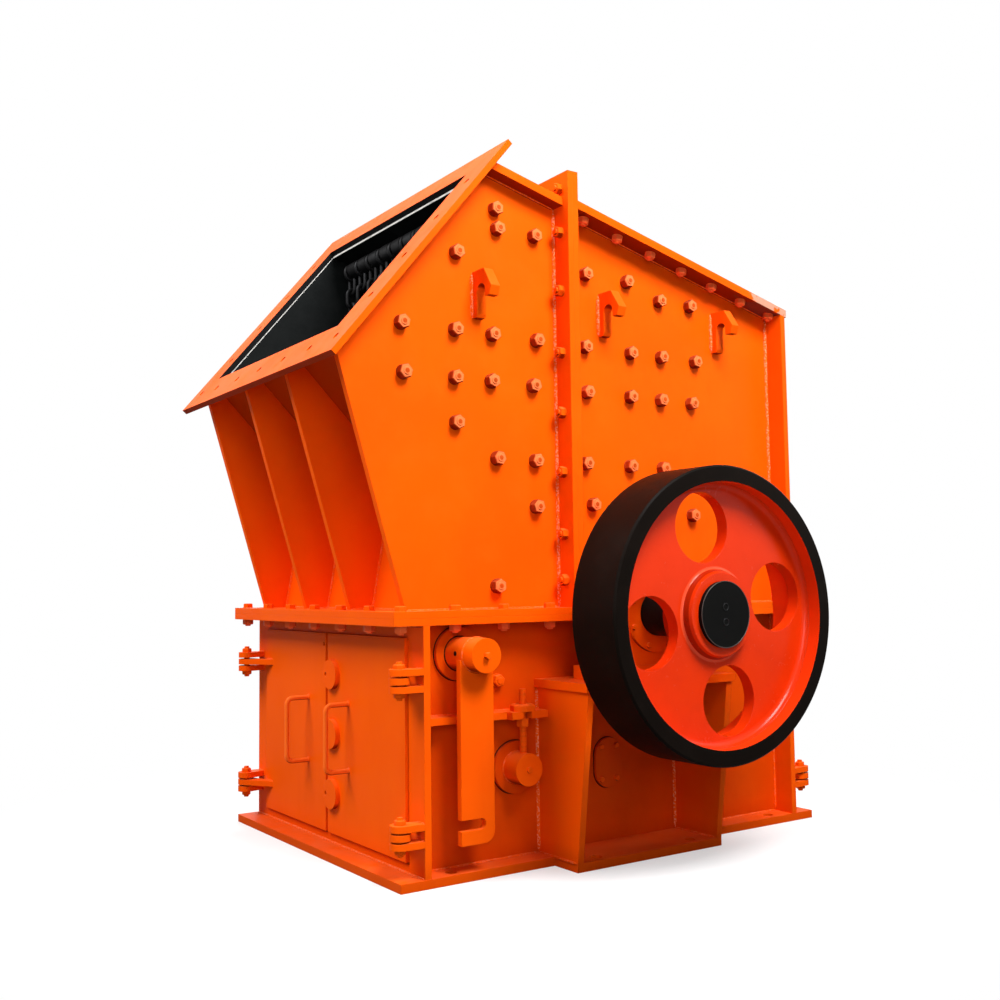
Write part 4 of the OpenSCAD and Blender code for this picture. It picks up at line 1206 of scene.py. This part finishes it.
@dataclass
class WeldSeams:
    """Weld beads along the joints of the plates."""

    tool: WeldTool
    finish: bpy.types.Material
    plain: bpy.types.Material
    gap_shade: bpy.types.Material
    line: float = 0.0026
    bead: float = 0.0095
    fillet: float = 0.0060
    thin: float = 0.0042
    rib_y: float = 0.190
    lugs: tuple[float, ...] = (0.354, 0.932, 1.531)
    lug_thick: float = 0.038
    lug_span: tuple[float, float] = (1.926, 2.091)
    pedestal: tuple[float, float] = (0.613, 1.293)
    pedestal_top: float = 0.612
    pedestal_out: float = 0.830
    rear: float = 1.856
    shaft_gap: tuple[float, float] = (0.85, 1.06)
    front_foot: float = 0.075
    feed_span: tuple[float, float] = (0.075, 0.977)
    feed_top: float = 1.011
    chute_back: float = 0.100
    roof_half: float = 0.670
    wall_foot: float = 0.165
    wall_knee: tuple[float, float] = (0.2335, 1.275)
    bracket_end: float = 0.594
    boss_radius: float = 0.056
    collar_radius: float = 0.0925
    shaft_radius: float = 0.0590
    lever_face: float = 0.736
    lever_ring: float = 0.058
    cover_radius: float = 0.0625
    cover_half: float = 0.030
    cover_steps: int = 48
    handle_y: float = 0.172
    handle_feet: tuple[float, float] = (0.313, 0.553)
    handle_ring: float = 0.009
    arm_feet: tuple[float, float] = (0.159, 0.659)
    arm_in: float = 0.522
    leaf_in: float = 0.648

    def bright_paths(self) -> list[Path]:
        """Returns the heavy, uneven seams of one side: split, rear corner, pedestal and lugs."""
        y = -WALL
        under = [roof_height(x) - ROOF_THICK for x in (SPLIT_FRONT, SPLIT_REAR, self.rear)]
        paths = [
            [at(SPLIT_FRONT, y, UPPER_FLANGE), at(SPLIT_FRONT, y, under[0])],
            [at(SPLIT_REAR, y, UPPER_FLANGE), at(SPLIT_REAR, y, under[1])],
            [at(self.rear, y, UPPER_FLANGE), at(self.rear, y, under[2])]]
        left, right = self.pedestal
        for x in (left, left + PLATE, right - PLATE, right):
            paths.append([at(x, y, BASE_TOP), at(x, y, self.pedestal_top)])
        low, high = self.lug_span
        for x in self.lugs:
            paths.append([at(x, y, low), at(x, y, high)])
        return paths

    def side_paths(self) -> list[Path]:
        """Returns the smooth seams of one side wall, base joint and pedestal."""
        y = -WALL
        front = END_FRONT + PLATE
        rear = END_REAR - PLATE
        left, right = self.pedestal
        before, behind = self.shaft_gap
        paths = [
            [at(front, y, BASE_TOP), at(left, y, BASE_TOP)],
            [at(right, y, BASE_TOP), at(rear, y, BASE_TOP)],
            [at(front, y, BASE_TOP), at(front, y, LOWER_FLANGE)],
            [at(rear, y, BASE_TOP), at(rear, y, LOWER_FLANGE)],
            [at(front, y, LOWER_FLANGE), at(before, y, LOWER_FLANGE)],
            [at(behind, y, LOWER_FLANGE), at(rear, y, LOWER_FLANGE)],
            [at(self.front_foot, y, UPPER_FLANGE), at(SPLIT_FRONT, y, UPPER_FLANGE)],
            [at(SPLIT_REAR, y, UPPER_FLANGE), at(before, y, UPPER_FLANGE)],
            [at(behind, y, UPPER_FLANGE), at(self.rear, y, UPPER_FLANGE)],
            [at(SPLIT_REAR, y, roof_height(SPLIT_REAR) - ROOF_THICK),
             at(self.rear, y, roof_height(self.rear) - ROOF_THICK)]]
        for x in (left, left + PLATE, right - PLATE, right):
            paths.append([at(x, y, BASE_TOP), at(x, -self.pedestal_out, BASE_TOP)])
        low, high = (feed_back(up) for up in self.feed_span)
        paths.append([at(low[0], y, low[1]), at(high[0], y, high[1])])
        paths.append([at(high[0], y, high[1]), at(SPLIT_FRONT, y, roof_height(SPLIT_FRONT) - ROOF_THICK)])
        for x in self.lugs:
            paths.append([at(x + self.lug_thick, y, z) for z in self.lug_span])
        return paths

    def front_paths(self) -> list[Path]:
        """Returns the seams across the front, under the chute and on the roof."""
        half = INNER_WALL
        paths = [
            [at(END_FRONT, -FLANGE_HALF, BASE_TOP), at(END_FRONT, FLANGE_HALF, BASE_TOP)],
            [at(END_FRONT, -FLANGE_HALF, LOWER_FLANGE), at(END_FRONT, FLANGE_HALF, LOWER_FLANGE)],
            [at(self.wall_foot, y, UPPER_FLANGE) for y in (-half, half)],
            [at(SPLIT_FRONT, y, roof_height(SPLIT_FRONT)) for y in (-self.roof_half, self.roof_half)],
            [at(SPLIT_REAR, y, roof_height(SPLIT_REAR)) for y in (-FLANGE_HALF, FLANGE_HALF)]]
        top = feed_back(self.feed_top)
        paths.append([at(top[0], y, top[1]) for y in (-self.roof_half, self.roof_half)])
        foot = at(self.wall_foot, 0.0, UPPER_FLANGE)
        knee = at(self.wall_knee[0], 0.0, self.wall_knee[1])
        back = feed_back(self.chute_back)
        nose = feed_back(self.feed_span[0])
        for centre in (-self.rib_y, self.rib_y):
            for y in (centre - PLATE / 2, centre + PLATE / 2):
                shift = Vector((0.0, y, 0.0))
                paths.append([at(self.front_foot, y, UPPER_FLANGE), foot + shift, knee + shift])
                paths.append([at(nose[0], y, nose[1]), at(back[0], y, back[1])])
        for y in (-half, half):
            shift = Vector((0.0, y, 0.0))
            paths.append([foot + shift, knee + shift])
        return paths

    def gear_paths(self) -> list[Path]:
        """Returns the seams of the side gear on one side."""
        boss = at(ADJUSTER_X, -WALL - COLLAR_THICK, ADJUSTER_Z)
        edges = [[at(x, -WALL, z) for x in (END_FRONT + PLATE, self.bracket_end)]
                 for z in (BRACKET_TOP, BRACKET_LOW)]
        return [ring_path(boss, self.boss_radius, ACROSS, UP, count=30), *edges]

    def gap_shade_paths(self) -> list[Path]:
        """Returns painted shade lines for the gaps round the collars and the blank cover, one side."""
        shaft = at(CROSS_X, -WALL - COLLAR_THICK, CROSS_Z)
        return [
            ring_path(at(CROSS_X, -WALL, CROSS_Z), self.collar_radius, ACROSS, UP, count=60),
            ring_path(shaft, self.shaft_radius, ACROSS, UP, count=48),
            ring_path(at(ADJUSTER_X, -WALL, ADJUSTER_Z), self.collar_radius, ACROSS, UP, count=60),
            self.cover_path()]

    def cover_path(self) -> Path:
        """Returns the outline of the blank cover behind the wheel, a round-ended slot."""
        outline = []
        nudge = 1e-6
        for k in range(self.cover_steps + RING_OVERLAP):
            turn = math.tau * k / self.cover_steps
            shift = math.copysign(self.cover_half, math.sin(turn + nudge))
            x = COVER_X + self.cover_radius * math.cos(turn)
            outline.append(at(x, -WALL, COVER_Z + shift + self.cover_radius * math.sin(turn)))
        return outline

    def door_paths(self, sign: float) -> list[Path]:
        """Returns the handle and hinge-arm seams of one door."""
        sideways = Vector((0.0, 1.0, 0.0))
        feet = [at(DOOR_FACE, sign * self.handle_y, z) for z in self.handle_feet]
        paths = [ring_path(foot, self.handle_ring, sideways, UP, count=18) for foot in feet]
        for low in self.arm_feet:
            for z in (low, low + LEAF):
                paths.append([at(DOOR_FACE, sign * y, z) for y in (DOOR_EDGE, self.arm_in)])
        return paths

    def hinge_paths(self) -> list[Path]:
        """Returns the seams of the hinge leaves on the front end plate, one side."""
        paths = []
        for low in HINGE_FEET:
            for z in (low, low + LEAF, low + HINGE_TALL - LEAF, low + HINGE_TALL):
                paths.append([at(END_FRONT, -FLANGE_HALF, z), at(END_FRONT, -self.leaf_in, z)])
        return paths

    def build(self) -> None:
        """Lays all weld beads."""
        heavy = mirrored(self.bright_paths())
        mount(self.tool.lay("heavy_welds", heavy, self.bead, self.finish), Body.HOUSING)
        housing = mirrored(self.side_paths()) + self.front_paths()
        mount(self.tool.lay("plate_welds", housing, self.fillet, self.plain), Body.HOUSING)
        small = mirrored(self.gear_paths() + self.hinge_paths())
        mount(self.tool.lay("gear_welds", small, self.thin, self.plain), Body.HOUSING)
        # Painted shade: thin dark rings in the gaps round the collars and the blank cover.
        shade_ring_piece = self.tool.lay("painted_gap_shade_rings", mirrored(self.gap_shade_paths()), self.line, self.gap_shade)
        mount(shade_ring_piece, Body.HOUSING)
        right = self.tool.lay("door_right_welds", self.door_paths(-1.0), self.thin, self.plain)
        mount(right, Body.DOOR_RIGHT)
        left = self.tool.lay("door_left_welds", self.door_paths(1.0), self.thin, self.plain)
        mount(left, Body.DOOR_LEFT)
        joint = ring_path(at(CROSS_X, -self.lever_face, CROSS_Z), self.lever_ring, ACROSS, UP, count=30)
        lever = self.tool.lay("lever_welds", mirrored([joint]), self.thin, self.plain)
        mount(lever, Body.LEVER)


def strips(name: str, spans: Sequence[tuple[Vector, Vector]], finish: bpy.types.Material) -> bpy.types.Object:
    """Makes flat strips.

    Args:
        name: Name of the piece.
        spans: Two opposite corners of each strip.
        finish: Material of the strips.

    Returns:
        One object that holds them all.
    """
    points: list[tuple[float, float, float]] = []
    faces: list[tuple[int, ...]] = []
    for low, high in spans:
        first = len(points)
        points.extend((x, y, z) for x in (low.x, high.x) for y in (low.y, high.y) for z in (low.z, high.z))
        sides = ((0, 1, 3, 2), (4, 6, 7, 5), (0, 4, 5, 1), (2, 3, 7, 6), (0, 2, 6, 4), (1, 5, 7, 3))
        faces.extend(tuple(first + index for index in side) for side in sides)
    mesh = bpy.data.meshes.new(name)
    mesh.from_pydata(points, [], faces)
    mesh.materials.append(finish)
    piece = bpy.data.objects.new(name, mesh)
    bpy.context.scene.collection.objects.link(piece)
    return piece


@dataclass
class DoorStops:
    """Flat strips behind the edges of all doors, and a strip along each front door's head."""

    finish: bpy.types.Material
    front: float = 0.1070
    back: float = 0.1155
    side: float = 0.6020
    foot: float = 0.0590
    head: float = 0.8070
    lap: float = 0.0220
    meet: float = 0.0100
    door_top: float = 0.8000
    door_split: float = 0.0090
    lip: float = 0.0054
    strip: float = 0.0200

    def build(self) -> None:
        """Makes the strips round both doorways, behind the doors' joints and on the front doors."""
        low = self.foot + self.lap
        high = self.head - self.lap
        spans = [(-self.side, self.side, self.foot, low), (-self.side, self.side, high, self.head),
                 (-self.side, -self.side + self.lap, low, high), (self.side - self.lap, self.side, low, high),
                 (self.meet - self.lap, self.meet + self.lap, low, high)]
        boxes = [(at(self.front, y0, z0), at(self.back, y1, z1)) for y0, y1, z0, z1 in spans]
        boxes += [(at(BASE_LENGTH - self.back, y0, z0), at(BASE_LENGTH - self.front, y1, z1))
                  for y0, y1, z0, z1 in spans]
        mount(strips("door_stops", boxes, self.finish), Body.HOUSING)
        back = DOOR_FACE + self.strip
        top = self.door_top + self.lip
        right = [(at(DOOR_FACE, -DOOR_EDGE, self.door_top), at(back, self.meet - self.door_split, top))]
        mount(strips("door_right_head_strip", right, self.finish), Body.DOOR_RIGHT)
        left = [(at(DOOR_FACE, self.meet + self.door_split, self.door_top), at(back, DOOR_EDGE, top))]
        mount(strips("door_left_head_strip", left, self.finish), Body.DOOR_LEFT)


@dataclass
class WheelMarks:
    """Painted highlight on the edge of the shaft caps, and dark rings as painted shade for their two tapped
    holes.
    """

    tool: WeldTool
    edge_finish: bpy.types.Material
    hole_finish: bpy.types.Material
    face: float = 1.221
    radius: float = 0.1105
    hole_rise: float = 0.025
    hole_radius: float = 0.0115
    edge_bead: float = 0.0016
    hole_bead: float = 0.0020

    def build(self) -> None:
        """Makes the rings on both shaft ends."""
        rim = [ring_path(at(SHAFT_X, -self.face, SHAFT_Z), self.radius, ACROSS, UP, count=90)]
        edge = self.tool.lay("shaft_cap_edges", mirrored(rim), self.edge_bead, self.edge_finish)
        mount(edge, Body.ROTOR)
        spots = [at(SHAFT_X, -self.face, SHAFT_Z + rise) for rise in (-self.hole_rise, self.hole_rise)]
        rings = [ring_path(spot, self.hole_radius, ACROSS, UP, count=24) for spot in spots]
        holes = self.tool.lay("shaft_cap_holes", mirrored(rings), self.hole_bead, self.hole_finish)
        mount(holes, Body.ROTOR)


@dataclass
class SideGear:
    """Nuts and thread of the adjuster, hinge nuts and shaft end marks."""

    tool: FastenerTool
    threads: ThreadTool
    finish: bpy.types.Material
    dark: bpy.types.Material
    rod_y: float = 0.668
    shaft_end: float = 0.796
    boss_end: float = 0.704
    oil_out: float = 0.0579
    oil_y: float = 0.692
    oil_z: float = 0.752
    thread_foot: float = 0.400
    thread_length: float = 0.214
    thread_radius: float = 0.0118
    thread_pitch: float = 0.003
    pin_x: float = 0.020
    pin_y: float = 0.662

    def build(self) -> None:
        """Makes the small parts of the side gear."""
        rods = Row(Fastener.ROD_NUT)
        rods.add_pair(at(ADJUSTER_X, -self.rod_y, BRACKET_TOP), (0, 0, 1))
        mount(self.tool.fix("adjuster_nuts", rods, self.finish), Body.HOUSING)
        locks = Row(Fastener.LOCK_NUT)
        locks.add_pair(at(ADJUSTER_X, -self.rod_y, BRACKET_LOW), (0, 0, -1))
        mount(self.tool.fix("adjuster_lock_nuts", locks, self.finish), Body.HOUSING)
        shaft_marks = Row(Fastener.CENTRE)
        shaft_marks.add_pair(at(CROSS_X, -self.shaft_end, CROSS_Z), (0, -1, 0))
        mount(self.tool.fix("cross_shaft_centres", shaft_marks, self.finish), Body.LEVER)
        # Painted shade: a dark disc stands for the oil hole.
        oil_holes = Row(Fastener.STUD_END)
        oil_holes.add_pair(at(CROSS_X - self.oil_out, -self.oil_y, self.oil_z), (-1, 0, 0))
        mount(self.tool.fix("cross_shaft_oil_holes", oil_holes, self.dark), Body.LEVER)
        boss_marks = Row(Fastener.BOSS_MARK)
        boss_marks.add_pair(at(ADJUSTER_X, -self.boss_end, ADJUSTER_Z), (0, -1, 0))
        mount(self.tool.fix("adjuster_centres", boss_marks, self.finish), Body.HOUSING)
        for side in (-1, 1):
            foot = at(ADJUSTER_X, side * self.rod_y, self.thread_foot)
            name = "adjuster_thread_near" if side < 0 else "adjuster_thread_far"
            thread = self.threads.wind(name, foot, self.thread_length, self.thread_radius,
                                       self.thread_pitch, self.finish)
            mount(thread, Body.HOUSING)
        pins = Row(Fastener.HINGE_NUT)
        for low in HINGE_FEET:
            for x in (self.pin_x, BASE_LENGTH - self.pin_x):
                pins.add_pair(at(x, -self.pin_y, low + HINGE_TALL), (0, 0, 1))
                pins.add_pair(at(x, -self.pin_y, low), (0, 0, -1))
        mount(self.tool.fix("hinge_nuts", pins, self.finish), Body.HOUSING)


@dataclass
class Studio:
    """Camera, lamps, floor and white surround."""

    position: tuple[float, float, float] = (-2.6391, -3.9042, 0.9797)
    turn: float = -34.237
    pitch: float = 4.334
    roll: float = -0.7185
    lens: float = 40.32
    sensor: float = 36.0
    ambient: float = 0.06
    dark_span: tuple[float, float] = (0.06, 1.89)
    floor_reach: float = 14.0
    floor_level: float = -0.0005
    floor_pale: Colour = (0.90, 0.90, 0.90)
    floor_bright: Colour = (0.93, 0.93, 0.93)
    floor_bounce: Colour = (0.22, 0.22, 0.22)
    floor_fade: tuple[float, float] = (1.0, 2.3)
    floor_glow: float = 0.5

    def camera(self) -> None:
        """Sets the camera at the viewing angle of the photograph."""
        data = bpy.data.cameras.new("studio_camera")
        data.lens = self.lens
        data.sensor_width = self.sensor
        data.clip_end = 100.0
        turn, pitch, roll = (math.radians(v) for v in (self.turn, self.pitch, self.roll))
        forward = Vector((-math.sin(turn) * math.cos(pitch), math.cos(turn) * math.cos(pitch),
                          math.sin(pitch)))
        right = Vector((math.cos(turn), math.sin(turn), 0.0))
        up = right.cross(forward)
        tilted_right = right * math.cos(roll) + up * math.sin(roll)
        tilted_up = up * math.cos(roll) - right * math.sin(roll)
        frame = Matrix((tilted_right, tilted_up, -forward)).transposed().to_4x4()
        frame.translation = Vector(self.position)
        eye = bpy.data.objects.new("studio_camera", data)
        eye.matrix_world = frame
        bpy.context.scene.collection.objects.link(eye)
        bpy.context.scene.camera = eye

    def lamp(self, name: str, place: Sequence[float], aim: Sequence[float], size: float,
             power: float) -> None:
        """Adds one soft lamp.

        Args:
            name: Name of the lamp.
            place: Where it hangs.
            aim: The point that it faces.
            size: Edge length of its square.
            power: Power in watts.
        """
        data = bpy.data.lights.new(name, "AREA")
        data.size = size
        data.energy = power
        lamp = bpy.data.objects.new(name, data)
        lamp.location = Vector(place)
        lamp.rotation_euler = (Vector(aim) - Vector(place)).to_track_quat("-Z", "Y").to_euler()
        bpy.context.scene.collection.objects.link(lamp)

    def surround(self) -> None:
        """Makes the world white to the camera and to mirrors, and a plain grey light elsewhere."""
        world = bpy.data.worlds.new("studio_surround")
        bpy.context.scene.world = world
        world.use_nodes = True
        graph = Graph(world.node_tree)
        world.node_tree.nodes.clear()
        path = graph.node("ShaderNodeLightPath", out="Is Camera Ray")
        outputs = path.socket.node.outputs
        seen = path + Wire(graph, outputs["Is Glossy Ray"]) + Wire(graph, outputs["Is Transmission Ray"])
        strength = seen.math("MINIMUM", 1.0) * (1.0 - self.ambient) + self.ambient
        light = graph.node("ShaderNodeBackground", None, {"Color": (1, 1, 1, 1), "Strength": strength})
        graph.node("ShaderNodeOutputWorld", None, {"Surface": light})

    def floor(self) -> None:
        """Lays a pale floor that keeps the shadow and runs into the white surround."""
        mesh = bpy.data.meshes.new("studio_floor")
        reach = self.floor_reach
        corners = ((-reach, -reach), (reach, -reach), (reach, reach), (-reach, reach))
        mesh.from_pydata([(x, y, self.floor_level) for x, y in corners], [], [(0, 1, 2, 3)])
        floor = bpy.data.objects.new("studio_floor", mesh)
        bpy.context.scene.collection.objects.link(floor)
        shade = Shade("studio_floor_pale")
        grain = shade.noise(3.0, 2.0).ramp(0.2, 0.8)
        path = shade.node("ShaderNodeLightPath", out="Is Camera Ray")
        pale = shade.mix(grain, self.floor_pale, self.floor_bright)
        colour = shade.mix(path, self.floor_bounce, pale)
        diffuse = shade.node("ShaderNodeBsdfDiffuse", None, {"Color": colour})
        white = shade.node("ShaderNodeEmission", None, {"Color": (1, 1, 1, 1), "Strength": 1.0})
        far = ((shade.x ** 2.0 + shade.y ** 2.0) ** 0.5).ramp(*self.floor_fade)
        front_end, rear_end = (at(x, 0.0, 0.0).x for x in self.dark_span)
        below = (shade.x > front_end) * (shade.x < rear_end) * (abs(shade.y) < INNER_WALL)
        share = (far * (1.0 - self.floor_glow) + self.floor_glow) * path * (1.0 - below)
        mixed = shade.node("ShaderNodeMixShader", None, {0: share, 1: diffuse, 2: white})
        shade.node("ShaderNodeOutputMaterial", None, {"Surface": mixed})
        mesh.materials.append(shade.material)

    def build(self) -> None:
        """Sets up camera, lamps, surround and floor."""
        self.camera()
        self.surround()
        self.floor()
        aim = (0.0, 0.0, 1.1)
        self.lamp("key_lamp", (0.0, -3.7, 5.0), aim, size=2.0, power=415.0)
        self.lamp("front_lamp", (-4.5, 0.3, 5.6), aim, size=3.4, power=450.0)
        self.lamp("fill_lamp", (-2.6, -4.4, 2.0), aim, size=1.8, power=48.0)
        self.lamp("side_lamp", (4.6, -3.4, 3.0), aim, size=2.6, power=30.0)
        self.lamp("back_lamp", (2.4, 4.6, 3.4), aim, size=2.6, power=330.0)
        bpy.context.scene.view_settings.view_transform = "Standard"


def main() -> None:
    """Builds the dressed machine and its studio."""
    logging.basicConfig(level=logging.INFO, format="%(message)s")
    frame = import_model()
    finishes = Finishes()
    finishes.dress_solids(frame["nodes"])
    fasteners = FastenerTool()
    HousingBolts(fasteners, finishes.bolts, finishes.lit_hanging_nuts).build()
    LinerBolts(fasteners, finishes.bolts, finishes.nuts, finishes.stud_end_shade).build()
    Bearings(fasteners, finishes.bolts).build()
    beads = WeldTool()
    WeldSeams(beads, finishes.weld, finishes.plain_weld, finishes.gap_shade).build()
    WheelMarks(beads, finishes.wear_and_highlight, finishes.chain).build()
    DoorStops(finishes.orange).build()
    SideGear(fasteners, ThreadTool(), finishes.bolts, finishes.gap_shade).build()
    Studio().build()


if __name__ == "__main__":
    main()
